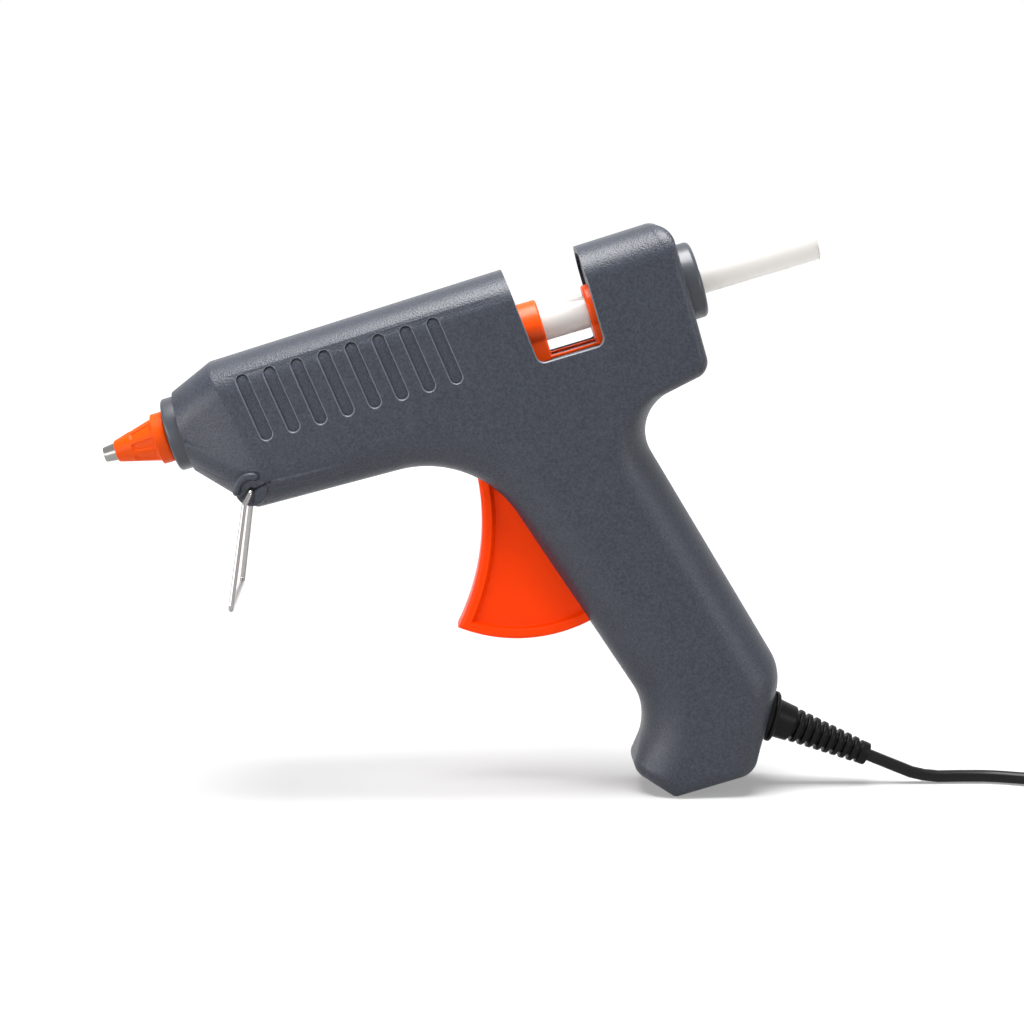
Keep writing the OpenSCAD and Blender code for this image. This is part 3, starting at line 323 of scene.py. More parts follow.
def eased(t):
    """A step from 0 to 1 that starts and ends level."""
    c = np.clip(t, 0, 1)
    return c * c * (3 - 2 * c)


def arc_at(p, q, r, radius, steps):
    """The corner p-q-r as an arc: its two tangent points turned into each other about a centre."""
    a, b = unit(p - q), unit(r - q)
    half = math.acos(max(-1, min(1, float(a @ b)))) / 2
    if steps == 0 or radius <= 0 or half > math.pi / 2 - 1e-4:
        return q[None]
    middle = q + unit(a + b) * radius / math.sin(half)
    start = q + a * radius / math.tan(half) - middle
    end = q + b * radius / math.tan(half) - middle
    sweep = math.pi - 2 * half
    k = np.linspace(0, 1, steps + 1)[:, None]
    return middle + (np.sin((1 - k) * sweep) * start + np.sin(k * sweep) * end) / math.sin(sweep)


def softened(points, radii, steps=6, closed=True):
    """A line through points with each corner rounded by its radius."""
    p, n = np.asarray(points, float), len(points)
    radii, steps = np.broadcast_to(radii, n), np.broadcast_to(steps, n)
    inner = range(n) if closed else range(1, n - 1)
    arcs = [arc_at(p[i - 1], p[i], p[(i + 1) % n], radii[i], steps[i]) for i in inner]
    return np.vstack(arcs if closed else [p[:1], *arcs, p[-1:]])


def quads(rows, columns, wrap_rows=False, wrap_columns=False, first=0):
    """Corner numbers of the quads of a grid whose points are numbered row by row."""
    r = np.arange(rows if wrap_rows else rows - 1)[:, None]
    c = np.arange(columns if wrap_columns else columns - 1)[None, :]
    here, below = first + r * columns, first + (r + 1) % rows * columns
    c2 = (c + 1) % columns
    return np.stack([here + c, here + c2, below + c2, below + c], -1).reshape(-1, 4)


def wall_of(ring, step):
    """Quads from a closed ring of point numbers to the same ring numbered higher by a step."""
    after = np.roll(ring, -1)
    return np.stack([ring, after, after + step, ring + step], -1)


def tube(grid):
    """A grid whose rows are closed loops, as a surface with a cap on its first and last loop."""
    n, m = grid.shape[:2]
    return grid, [*quads(n, m, False, True), list(range(m)), list(range((n - 1) * m, n * m))]


def torus(grid):
    """A grid that closes on itself both ways, as a surface."""
    return grid, quads(*grid.shape[:2], True, True)


def about_barrel(x, r, a):
    """Points at a place along the barrel, a distance from its axis and an angle round it."""
    return xyz(x, r * np.cos(a), r * np.sin(a))


def about(centre, r, a, y):
    """Points at a distance and an angle round a centre of the side view, at a place across it."""
    return xyz(centre[0] + r * np.cos(a), y, centre[1] + r * np.sin(a))


def turned(profile, steps=72):
    """A closed profile (n, 2) of place along the barrel and radius, turned about its axis."""
    return torus(about_barrel(profile[:, 0], profile[:, 1], angles(steps)[:, None]))


def swept(path, radius, around, reference):
    """A round section carried along a path; the reference is a direction it never takes."""
    along = unit(np.gradient(path, axis=0))
    side = unit(np.cross(np.asarray(reference, float), along))
    up = np.cross(along, side)
    a = angles(around)[None, :, None]
    return tube(path[:, None] + radius * (np.cos(a) * side[:, None] + np.sin(a) * up[:, None]))


def block(low, high, radius=0.4, steps=3):
    """A box with rounded edges: the directions of a ball, set on a box smaller by the radius."""
    low, high = np.asarray(low, float), np.asarray(high, float)
    radius = min(radius, *((high - low) / 2.02))
    k = np.linspace(0, math.pi / 2, steps + 1)
    theta = np.concatenate([k, k + math.pi / 2, k + math.pi, k + 1.5 * math.pi])
    phi = np.concatenate([k - math.pi / 2, k])[:, None]
    ball = xyz(np.cos(phi) * np.cos(theta), np.cos(phi) * np.sin(theta), np.sin(phi))
    signs = [1, -1, -1, 1], [1, 1, -1, -1], [-1, 1]
    sx, sy, sz = (np.repeat(one, steps + 1) for one in signs)
    corner = xyz(sx, sy, sz[:, None])
    return tube((low + high) / 2 + corner * ((high - low) / 2 - radius) + radius * ball)


def prism(outline, y0, y1):
    """A flat outline (n, 2) in x and z of the barrel's frame, carried across the gun."""
    return tube(np.stack([xyz(outline[:, 0], y, outline[:, 1]) for y in (y0, y1)]))


def rod(x0, x1, r):
    """A round rod along the barrel's axis."""
    return tube(np.stack([about_barrel(x, r, angles(64)) for x in (x0, x1)]))


def circle(x, z, r, n):
    """A round outline in x and z."""
    return np.column_stack([x + r * np.cos(angles(n)), z + r * np.sin(angles(n))])


def joined(*parts):
    """Several surfaces as one list of points and one list of faces."""
    points, faces, count = [], [], 0
    for p, f in parts:
        points.append(np.asarray(p).reshape(-1, 3))
        faces += [[int(i) + count for i in one] for one in f]
        count += len(points[-1])
    return np.vstack(points), faces


def mesh_of(name, points, faces):
    """A bare mesh from arrays of points in m and of faces."""
    mesh = bpy.data.meshes.new(name)
    corners = [list(map(int, face)) for face in faces]
    mesh.from_pydata(np.asarray(points).reshape(-1, 3).tolist(), [], corners)
    return mesh


def cleaned(mesh, near):
    """The mesh with points nearer than that merged, and its faces turned outwards."""
    work = bmesh.new()
    work.from_mesh(mesh)
    bmesh.ops.remove_doubles(work, verts=work.verts, dist=near)
    bmesh.ops.recalc_face_normals(work, faces=work.faces)
    work.to_mesh(mesh)
    work.free()


def dressed(name, mesh, material, body, node, sharp):
    """A mesh made into a finished piece: cleaned, smooth but for sharp edges, on its body."""
    cleaned(mesh, 2e-6)
    mesh.polygons.foreach_set("use_smooth", np.ones(len(mesh.polygons), bool))
    mesh.set_sharp_from_angle(angle=math.radians(sharp))
    painted(mesh, material)
    made = put(name, mesh)
    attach(made, body)
    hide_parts(node)
    return made


def piece(name, surface, material, body, node, sharp=38, move=placed):
    """A surface, points in mm and faces, as a finished piece that stands for a node."""
    mesh = mesh_of(name, move(surface[0]), surface[1])
    return dressed(name, mesh, material, body, node, sharp)


print("surface helpers ready")

# %% [markdown]
# The mains cord leaves its gland straight, drops onto the table and runs out of the picture. About
# 1.4 m of lead is usual on such a gun, so the rest is put away as a tied coil just outside the
# view, and the lead goes on to its plug. It is one curve through the same points as the solids.

# %% Mains cord
CORD_D = 4.4
GLAND_LEN, GLAND_ANG = 37.0, math.radians(39)
gland_at = np.array([197.8, -157.2])
gland_dir = np.array([math.cos(GLAND_ANG), -math.sin(GLAND_ANG)])
gland_end = gland_at + gland_dir * GLAND_LEN
out = placed([gland_end[0], 0, gland_end[1]]) / MM
run_dir = np.array([math.cos(GLAND_ANG - TILT), 0, -math.sin(GLAND_ANG - TILT)])
COIL_X, COIL_Y, COIL_Z, COIL_R, COIL_PITCH = 236.0, 12.0, 3.2, 24.0, 4.95
COIL_TURNS, COIL_LAYERS = 8, 4
LAYER_TURNS = COIL_TURNS / COIL_LAYERS
COIL_OUT = COIL_R + COIL_PITCH * LAYER_TURNS / 2
COIL_IN = COIL_Y - COIL_OUT
PLUG_BACK, PLUG_FACE = 14, 34


def coil_points(t):
    """Turns of the coil: a flat spiral in, the next layer out, climbing a pitch between layers."""
    layer = np.floor(t / LAYER_TURNS)
    part = t / LAYER_TURNS - layer
    r = COIL_OUT - COIL_PITCH * LAYER_TURNS * np.where(layer % 2 == 0, part, 1 - part)
    climb = sum(eased((t - i * LAYER_TURNS) * 2 + 0.5) for i in range(1, COIL_LAYERS))
    a = 2 * math.pi * t
    return xyz(COIL_X + r * np.sin(a), COIL_Y - r * np.cos(a), COIL_Z + COIL_PITCH * climb)


def run_points(x, z):
    """The run on the table: straight out, then eased aside to where the coil starts."""
    x = np.asarray(x, float)
    return xyz(x, COIL_IN * eased((x - 172) / 52), z)


bend = np.arange(176, 205, 4)
run = np.vstack([
    [out + run_dir * d for d in (0, 4.4, 9, 13.4, 17.4)],
    [out + [20.6, 0, -7.8], out + [26, 0, -8.4]],
    run_points([168], 2.5), run_points(bend, 2.5 + 0.5 * eased((bend - 184) / 24)),
    run_points([208, 212, 218, 224, COIL_X - CORD_D], [3, COIL_Z, COIL_Z, COIL_Z, COIL_Z])])
coil = coil_points(np.append(np.arange(0, COIL_TURNS, 1 / 24), COIL_TURNS - 0.0001))
loose = coil[-1]
PLUG_X, PLUG_Y, PLUG_Z = loose[0] + 66, loose[1], 6.8
plug_entry = PLUG_X - PLUG_BACK
share = np.arange(1, 6) / 6
lead_from, lead_to = loose[0] + 2 * CORD_D, plug_entry - CORD_D
lead = np.vstack([
    loose + [CORD_D, 0, 0], loose + [2 * CORD_D, 0, 0],
    xyz(lead_from * (1 - share) + lead_to * share, PLUG_Y,
        loose[2] + (PLUG_Z - loose[2]) * eased(share)),
    [[lead_to, PLUG_Y, PLUG_Z], [plug_entry, PLUG_Y, PLUG_Z]]])
route = np.vstack([run, coil, lead])
cord_curve = bpy.data.curves.new("mains_lead", "CURVE")
cord_curve.dimensions = "3D"
cord_curve.bevel_depth = CORD_D / 2 * MM
cord_curve.bevel_resolution = 4
cord_curve.use_fill_caps = True
line = cord_curve.splines.new("POLY")
line.points.add(len(route) - 1)
line.points.foreach_set("co", np.column_stack([route * MM, np.ones(len(route))]).ravel())
line.use_smooth = True
cord_curve.materials.append(cord_finish)
mains_lead = put("mains_lead", cord_curve)
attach(mains_lead, "body")
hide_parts("mains_cord", "cord_coil", "plug_lead")

# %% [markdown]
# The housing is two deep half shells that meet on the middle plane. Seen from the side each is one
# outline with rounded corners, and from that edge the surface rolls over in a quarter of an ellipse
# to a flat side. How far the roll reaches, and how deep it is, changes from corner to corner: wide
# on the top and the grip, tight on the rear face. So the skin is a grid: round the outline, and
# over the roll.

# %% Housing outline
HALF_W, WALL, NOSE_X, NOSE_R, SHOULDER = 19.0, 2.2, 29.0, 14.3, 44.0
RISE, REAR_RISE, FLOOR, REAR = 20.4, 23.2, 31.4, 208.8
TOP_REACH, TOP_DEPTH, NOSE_REACH = 12, 15, 13.7
NOSE_LEN = SHOULDER - NOSE_X
NOSE_UP = math.atan((RISE - NOSE_R) / NOSE_LEN)
NOSE_DOWN = math.atan((FLOOR - NOSE_R) / NOSE_LEN)


def barrel_rise(x):
    """Height of the barrel's straight top edge over the stick's axis."""
    return RISE + (REAR_RISE - RISE) * (x - SHOULDER) / (REAR - SHOULDER)


# place, radius, reach of the roll before and after the corner, depth of the roll before and after
CORNERS = np.array([
    [NOSE_X, NOSE_R, 0, 0, NOSE_REACH * math.cos(NOSE_UP), NOSE_R - 1, NOSE_R - 1],
    [SHOULDER, RISE, 3, TOP_REACH, TOP_REACH, TOP_DEPTH, TOP_DEPTH],
    [156, barrel_rise(156), 0, TOP_REACH, TOP_REACH, TOP_DEPTH, TOP_DEPTH],
    [REAR, REAR_RISE, 7, TOP_REACH, 3, TOP_DEPTH, 3], [REAR, -30, 6, 3, 5, 5, 5],
    [178.6, -38.6, 15, 5, 16, 17, 17], [205.4, -141.6, 18, 16, 10, 17, 17],
    [184.7, -171.3, 8, 10, 5, 5, 5], [156.2, -171.3, 2.5, 5, 6, 5, 5],
    [144.2, -159.3, 5.5, 6, 16, 12, 12], [156.2, -140.8, 22, 16, 16, 17, 17],
    [123.8, -FLOOR - 2.9, 38, 16, 13, 12, 12], [SHOULDER + 2.2, -FLOOR, 3, 13, 13, 9, 9],
    [NOSE_X, -NOSE_R, 0, NOSE_REACH * math.cos(NOSE_DOWN), 0, NOSE_R - 1, NOSE_R - 1]])
SPOTS, RADII = CORNERS[:, :2], CORNERS[:, 2]
REACH_BEFORE, REACH_AFTER, DEPTH_BEFORE, DEPTH_AFTER = CORNERS[:, 3:].T


def right_of(p, q):
    """The unit vectors to the right of the ways from p to q, in the side view."""
    d = unit(q - p)
    return np.stack([d[:, 1], -d[:, 0]], -1)


# the corners go round with the material on the right, so these point into it
N1, N2 = right_of(np.roll(SPOTS, 1, 0), SPOTS), right_of(SPOTS, np.roll(SPOTS, -1, 0))
COS = (N1 * N2).sum(1)
TURN = np.degrees(np.arctan2(N1[:, 0] * N2[:, 1] - N1[:, 1] * N2[:, 0], COS))
STEPS = np.where(RADII == 0, 0, np.maximum(4, np.ceil(np.abs(TURN) / 3))).astype(int)


def drawn_in(before, after):
    """The outline with its edges moved in by two distances at each corner, and the radii to suit.

    A corner goes to where its two edges, drawn in, cross; on a straight it goes square to it.
    """
    flat = 1 - COS ** 2 < 0.0005
    safe = np.where(flat, 1, 1 - COS ** 2)[:, None]
    cross = ((before - after * COS)[:, None] * N1 + (after - before * COS)[:, None] * N2) / safe
    mean = (before + after) / 2
    radii = np.where(TURN < 0, np.maximum(RADII - mean, 0.4), RADII + mean) * (STEPS > 0)
    return softened(SPOTS + np.where(flat[:, None], N1 * mean[:, None], cross), radii, STEPS)


OUTER_EDGE = softened(SPOTS, RADII, STEPS)
INNER_EDGE = drawn_in(np.full(len(CORNERS), WALL), np.full(len(CORNERS), WALL))
CREASE = drawn_in(REACH_BEFORE, REACH_AFTER)
CORNER_OF = np.repeat(np.arange(len(CORNERS)), STEPS + 1)
PAST = np.concatenate([np.linspace(0, 1, n + 1) for n in STEPS])
print("outline", len(OUTER_EDGE), len(INNER_EDGE), len(CREASE), len(CORNER_OF))

# %% [markdown]
# The outer and the inner skin are two such grids, closed by the rim on the middle plane. Both sides
# of the gun use the same half, mirrored.

# %% Half shell


def skin(edge, wall, rows=17):
    """Rows from the middle plane over the roll: in from the edge by 1 - cos, out across by sin."""
    nose = (CORNER_OF == 0) | (CORNER_OF == len(CORNERS) - 1)
    width = np.where(nose, NOSE_R, HALF_W) - wall
    depth = DEPTH_BEFORE[CORNER_OF] * (1 - PAST) + DEPTH_AFTER[CORNER_OF] * PAST
    depth = np.maximum(np.minimum(depth, width + wall - 1) - wall, 0.5)
    crease = CREASE + np.where(nose, wall, 0)[:, None] * [1, 0]
    s = np.linspace(0, math.pi / 2, rows)[:, None]
    p = edge[None] + (crease - edge)[None] * (1 - np.cos(s))[..., None]
    y = width - depth + depth * np.sin(s)
    middle = xyz(edge[:, 0], 0, edge[:, 1])[None]
    return np.concatenate([middle, xyz(p[..., 0], y, p[..., 1])])


def half_shell():
    """One half: outer skin, inner skin, both flat sides and the rim, as one closed surface."""
    outer, inner = skin(OUTER_EDGE, 0), skin(INNER_EDGE, WALL)
    rows, n = outer.shape[:2]
    base = rows * n
    tops = [start + (rows - 1) * n for start in (0, base)]
    flats = [list(range(top + 1, top + n - 1)) for top in tops]
    nose = [[top + n - 2, *two] for top in tops for two in ((top + n - 1, top), (top, top + 1))]
    rim = wall_of(np.arange(n), base)
    skins = [*quads(rows, n, False, True), *quads(rows, n, False, True, base)]
    return np.concatenate([outer, inner]).reshape(-1, 3), [*skins, *rim, *flats, *nose]


print("half shell", len(half_shell()[0]), "points")

# %% [markdown]
# Window, side slots, trigger slot and bores are cut out of the shell with Boolean modifiers, as a
# milling cutter would cut them. The cutters are surfaces too. Window and slots have a small
# chamfer, which is the last layer of their cutter.

# %% Window and slots
WINDOW_LEAN = math.tan(math.radians(5.5))
WINDOW_X, WINDOW_END, WINDOW_LOW, WINDOW_TOP = 152, 176.4, -10.8, 40
window = softened([
    [WINDOW_X - WINDOW_LEAN * WINDOW_TOP, WINDOW_TOP], [WINDOW_END, WINDOW_TOP],
    [WINDOW_END, WINDOW_LOW], [WINDOW_X - WINDOW_LEAN * WINDOW_LOW, WINDOW_LOW]],
    [0, 0, 2.8, 2.8], 8)
CHAMFER = 0.4
SLOTS, SLOT_X, SLOT_Z, SLOT_PITCH = 8, 56.2, 2.6, 9.62
SLOT_HALF, SLOT_R, SLOT_DEPTH, SLOT_LEAN = 9.8, 2.1, 1.1, math.radians(7)


def side_y(x, z):
    """How far the skin stands out near the barrel's top: the quarter ellipse, then the flat."""
    part = np.clip((barrel_rise(x) - z) / TOP_REACH, 0, 1)
    return HALF_W - TOP_DEPTH + TOP_DEPTH * np.sqrt(np.maximum(1 - (1 - part) ** 2, 0))


def stadium(i, radius, straight=0.6):
    """Places over a slot on a grid: along its straight and its round ends, and across its width."""
    t = np.linspace(-1, 1, 57)
    turn = (np.abs(t) - straight) / (1 - straight) * math.pi / 2
    ends = np.sign(t) * (SLOT_HALF + radius * np.sin(turn))
    u = np.where(np.abs(t) < straight, t * SLOT_HALF / straight, ends)[:, None]
    wide = np.sqrt(np.maximum(radius ** 2 - np.maximum(np.abs(u) - SLOT_HALF, 0) ** 2, 0))
    v = np.linspace(-1, 1, 9)[None] * wide
    x = SLOT_X + SLOT_PITCH * i + v * math.cos(SLOT_LEAN) - u * math.sin(SLOT_LEAN)
    z = SLOT_Z + v * math.sin(SLOT_LEAN) + u * math.cos(SLOT_LEAN)
    return x, z


def slot_cutter(i):
    """A slot that follows the roll: floor, straight wall, chamfer. The chamfer's faces are last."""
    layers = []
    for wider, height in ((0, -SLOT_DEPTH), (0, -CHAMFER), (1.0, 1.0 - CHAMFER)):
        x, z = stadium(i, SLOT_R + wider)
        layers.append(xyz(x, side_y(x, z) + height, z).reshape(-1, 3))
    rows, columns = x.shape
    n = rows * columns
    left = np.arange(rows) * columns
    ring = np.concatenate([left, left[::-1] + columns - 1])
    wall = wall_of(ring, n)
    floor_top = [*quads(rows, columns), *quads(rows, columns, first=2 * n)]
    return np.concatenate(layers), [*floor_top, *wall, *(wall + n)], len(wall)


def window_cutter():
    """The window's outline carried across the gun, then a chamfer that opens to the flat side."""
    after = np.roll(window, -1, 0)
    turn = float((window[:, 0] * after[:, 1] - after[:, 0] * window[:, 1]).sum())
    outward = right_of(np.roll(window, 1, 0), after) * math.copysign(1, turn)
    wider = window + (1 + CHAMFER) * outward
    n = len(window)
    layers = [(window, -1.0), (window, HALF_W - CHAMFER), (wider, HALF_W + 1)]
    points = np.vstack([xyz(o[:, 0], y, o[:, 1]) for o, y in layers])
    flare = quads(2, n, False, True, n)
    caps = [list(range(n)), list(range(2 * n, 3 * n))]
    return points, [*quads(2, n, False, True), *caps, *flare], len(flare)


print("window", len(window), "points,", SLOTS, "slots a side")

# %% [markdown]
# The trigger turns about a pin in the grip, so its slot is the room that its blade sweeps. The
# stand hangs from a drum under the nose, with a crescent that stops the wire and a recess that it
# swings down from. Webs close the housing before and behind the window.

# %% Trigger slot, stand's boss, bores and webs
PIVOT = np.array([134.6, -49.8])
HOLLOW = PIVOT + 96.1 * heading(7.7) * [-1, 1]
HOLLOW_R, BLADE_R, RUN_GAP = 82.6, 55.2, 0.6
STAND = np.array([46.8, -24.3])
SCREWS = np.array([
    [62, -25.4], [64, 12.6], [114, 13.4], [199, -22], [197, 13.4], [163.2, -120.5], [168, -158]])
MID_WALL = WALL / 2


def blade_room():
    """Room for the blade: the arc about the pivot and the hollow front, each with a running gap."""
    reach, hollow, top = BLADE_R + RUN_GAP, HOLLOW_R - RUN_GAP, PIVOT[1] + 6
    bottom = PIVOT + reach * heading(np.linspace(-143, -52, 60))
    bottom = bottom[np.linalg.norm(bottom - HOLLOW, axis=1) > hollow]
    front = HOLLOW + hollow * heading(np.linspace(-45, 8, 120))
    front = front[(np.linalg.norm(front - PIVOT, axis=1) < reach) & (front[:, 1] < top)]
    return np.vstack([front, [[PIVOT[0] + 35, top]], bottom[::-1]])


def along_gland(profile, steps=64):
    """A profile of distance along the gland and radius, turned; its head leans to the housing."""
    a = angles(steps)[:, None]
    g, r = profile[:, 0][None], profile[:, 1][None]
    up = r * np.cos(a)
    g = g - eased((7.4 - g) / 5.3) * (1.25 + 0.13 * up)
    x = gland_at[0] + g * gland_dir[0] + up * math.sin(GLAND_ANG)
    z = gland_at[1] + g * gland_dir[1] + up * math.cos(GLAND_ANG)
    return xyz(x, r * np.sin(a), z)


def gland_bore():
    """A plain round hole for the gland's shoulder, through the grip's wall."""
    return tube(along_gland(np.array([[-12.0, 8.4], [4.0, 8.4]])).transpose(1, 0, 2))


def stand_boss():
    """The boss for the stand: a low drum with a rounded outer edge on the barrel's rolled edge."""
    profile = softened([[13.7, 5.6], [18.9, 5.6], [18.9, 0]], [0, 1.4, 0], 8, closed=False)[:-1]
    grid = about(STAND, profile[:, 1], angles(64)[:, None], profile[:, 0])
    n, m = grid.shape[:2]
    ends = [list(range(0, n * m, m)), list(range(m - 1, n * m, m))]
    return grid, [*quads(n, m, True, False), *ends]


def stand_stop():
    """The crescent that stops the wire: a round-topped section at radius 5, 40 to 185 degrees."""
    a = np.radians(np.linspace(40, 185, 60))[:, None]
    end = np.sqrt(np.clip(1 - np.linspace(-1, 1, 60) ** 8, 0.02, 1))[:, None]
    profile = softened([[-1.4, 15], [1.4, 15], [1.4, 20.8], [-1.4, 20.8]], [0, 0, 1.2, 1.2], 6)
    r = 5.0 + profile[:, 0] * end
    y = profile[:, 1] - (1 - end) * np.maximum(profile[:, 1] - 18, 0)
    return tube(about(STAND, r, a, y))


def stand_room():
    """The recess that the wire swings down from: a sector of the drum's face, and a groove."""
    fan = STAND + 8.0 * heading(np.linspace(203, 262, 24))
    tip = STAND + 1.2 * heading(np.linspace(-8, 113, 24))
    way = np.array([math.cos(0.16), math.sin(0.16)])
    off = np.array([-way[1], way[0]])
    groove = np.array([
        STAND + u * way + v * off for u, v in ((0.9, -0.4), (7.5, -0.4), (7.5, 0.4), (0.9, 0.4))])
    return prism(np.vstack([fan, tip]), 17.0, 27), prism(groove, 17.4, 27)


def web(x, low=-14.8, thick=1.8):
    """A flat web across the half shell: the section from a low edge over the roll, to mid-wall."""
    top = barrel_rise(x)
    z = np.linspace(top - TOP_REACH, top, 14)
    roll = np.column_stack([np.maximum(side_y(x, z) - MID_WALL, 0.3), z - MID_WALL])
    section = np.vstack([[[0.05, low], [17.7, low]], roll, [[0.05, top - MID_WALL]]])
    return tube(np.stack([np.insert(section, 0, at, axis=1) for at in (x, x + thick)]))


print("trigger slot", len(blade_room()), "points, hollow at", HOLLOW.round(2))

# %% [markdown]
# Now the cutting. A narrow bevel rounds every cut edge. Its faces go into a second material slot,
# and from there into an attribute that the finish reads and paints paler: a painted highlight
# along each rim. Only the far half has the holes for the screws.

# %% Housing shells


def solid(name, surface, side, marked=0):
    """A helper solid for a cut or a join, turned to the wanted side, its last faces marked."""
    mesh = mesh_of(name, placed(surface[0].reshape(-1, 3) * [1, side, 1]), surface[1])
    mesh.materials.append(housing_finish)
    mesh.materials.append(collar_finish)
    count = len(mesh.polygons)
    last = (np.arange(count) >= count - marked).astype(np.int32)
    mesh.polygons.foreach_set("material_index", last)
    cleaned(mesh, 1e-6)
    return put(name, mesh)


def carved(name, shell, joins, cuts, bevel):
    """The shell with the joins added and the cuts taken out, its edges rounded, as a plain mesh."""
    for other, way in [(j, "UNION") for j in joins] + [(c, "DIFFERENCE") for c in cuts]:
        boolean = shell.modifiers.new(other.name, "BOOLEAN")
        boolean.operation, boolean.solver, boolean.object = way, "EXACT", other
    weld = shell.modifiers.new("weld", "WELD")
    weld.merge_threshold = 0.00002
    soft = shell.modifiers.new("soft", "BEVEL")
    soft.width, soft.segments, soft.material = bevel * MM, 3, 1
    soft.limit_method, soft.angle_limit = "ANGLE", math.radians(48)
    graph = bpy.context.evaluated_depsgraph_get()
    mesh = bpy.data.meshes.new_from_object(shell.evaluated_get(graph))
    for made in [shell, *joins, *cuts]:
        bpy.data.objects.remove(made)
    mesh.name = name
    # Faces from the bevel's slot carry the painted edge highlight.
    edge = np.zeros(len(mesh.polygons), np.int32)
    mesh.polygons.foreach_get("material_index", edge)
    painted_edge_highlight = mesh.attributes.new("painted_edge_highlight", "FLOAT", "FACE")
    painted_edge_highlight.data.foreach_set("value", edge.astype(np.float32))
    return mesh


def housing(side, name, screw_holes):
    """One finished half shell: the moulded shell, its webs, boss and rail, and all the cuts."""
    shell = solid(name + "_shell", half_shell(), side)
    joins = [solid(label, surface, side) for label, surface in (
        ("boss", stand_boss()), ("stop", stand_stop()),
        ("front_web", web(148.0)), ("rear_web", web(177.4)),
        ("rail", block([132, 2.8, -13.4], [179.2, 17.7, -11.9], 0.05, 1)))]
    chamfered = [("window", window_cutter())]
    chamfered += [(f"slot_{i}", slot_cutter(i)) for i in range(SLOTS)]
    cuts = [solid(label, surface, side, marked) for label, (*surface, marked) in chamfered]
    holes = [
        ("trigger_slot", prism(blade_room(), -1, 6.9)),
        ("nose_bore", rod(NOSE_X - 2, NOSE_X + 8, 10.05)),
        ("rear_bore", rod(REAR - 6, REAR + 4, 11.05)),
        ("ring_bore", rod(128, 187, 9.6)), ("cord_bore", gland_bore()),
        *(("stand_room", room) for room in stand_room()),
        ("wire_bore", prism(circle(*STAND, 0.95, 24), 12, 32))]
    if screw_holes:
        holes += [("screw", prism(circle(*s, 2.7, 32), 6, 26)) for s in SCREWS]
    cuts += [solid(label, surface, side) for label, surface in holes]
    mesh = carved(name, shell, joins, cuts, 0.35)
    return dressed(name, mesh, housing_finish, "body", name.replace("_skin", ""), 40)


left_skin = housing(-1, "housing_left_skin", False)
right_skin = housing(1, "housing_right_skin", True)
print("half shells", len(left_skin.data.polygons), len(right_skin.data.polygons), "faces")

# %% [markdown]
# Nose collar, rear collar, nozzle and stick are turned parts: a profile with rounded corners,
# carried round the barrel's axis. The nozzle's sleeve is moulded silicone with eight flat flutes in
# its cone, so its radius is a function of both the place along it and the angle round it.

# %% Nose, inlet and glue stick
collar = softened([[24, 6.8], [24, 12.85], [29, 12.85], [29, 10], [33, 10], [33, 6.8]],
                  [0.3, 1.1, 0.2, 0, 0.3, 0.3], 8)
inlet = softened([[204.2, 6.4], [204.2, 12.4], [206.5, 12.4], [206.5, 11], [208.8, 11],
                  [208.8, 13.4], [214.6, 13.4], [214.6, 6.4]],
                 [0.2, 0.3, 0.2, 0, 0, 0.2, 1.8, 1.2], 8)
tip = softened([[0, 1.0], [0, 2.6], [4.3, 3.1], [17.6, 5.6], [23.9, 5.6], [23.9, 4], [30.9, 4],
                [30.9, 2.6], [7, 2.6], [3, 1.0]], [0.15, 0.45, 0, 0.3, 0.2, 0, 0.3, 0, 0, 0])
stick = softened([[114, 0.001], [114, 5.6], [257, 5.6], [257, 0.001]], [0, 0.25, 0.35, 0])
piece("nozzle_collar_ring", turned(collar), collar_finish, "body", "nozzle_collar")
piece("rear_collar_ring", turned(inlet), collar_finish, "body", "rear_collar")
piece("nozzle_tip", turned(tip), tip_finish, "body", "nozzle")
piece("glue_stick_clear", turned(stick, 96), glue_finish, "stick", "glue_stick")


def corner_drop(t):
    """How far a quarter circle has dropped at a share of its run, as a share of its radius."""
    return 1 - np.sqrt(1 - np.clip(t, 0, 1) ** 2)


def fluted_sleeve(flutes=8, start=4.3, step=18.6, end=23.6):
    """Radius = cone or rear ring, less flat-bottomed flutes on the cone that fade at its ends."""
    x = np.unique(np.concatenate([
        np.linspace(start, 5, 6), np.linspace(5, step, 46), np.linspace(step, 19.4, 8),
        np.linspace(19.4, end, 10)]))
    cone = 3.7 + (7.6 - 3.7) * np.clip((x - start) / 14.3, 0, 1)
    ring = 8.9 - 0.5 * corner_drop((x - 23.1) / 0.5)
    r = np.where(x < step, cone, cone + (ring - cone) * eased((x - step) / 0.7))
    r = r - 0.35 * corner_drop((4.8 - x) / 0.5)
    a = angles(192)[:, None]
    turn = (a * flutes / (2 * math.pi) + 0.5) % 1 - 0.5
    across = eased((0.31 - np.abs(turn)) / 0.07)
    along = eased((x - 10.4) / 0.9) * eased((18.75 - x) / 0.35)
    bore = np.array([[end, 5.65], [17.6, 5.65], [start, 3.15]])
    outside = about_barrel(x, r - 0.55 * across * along, a)
    return torus(np.concatenate([outside, about_barrel(bore[:, 0], bore[:, 1], a)], 1))


piece("nozzle_sleeve_fluted", fluted_sleeve(), sleeve_finish, "body", "nozzle_sleeve", 50)
print("nose made: collar, sleeve, tip; inlet collar and stick behind")

# %% [markdown]
# The trigger blade is one moulding with a raised rim along its hollow front and its round bottom
# and a recessed web between. Its two parameters are the distance from the pivot and the share of
# the way from the front edge to the rear; the half thickness then depends only on how far a point
# is from those edges.

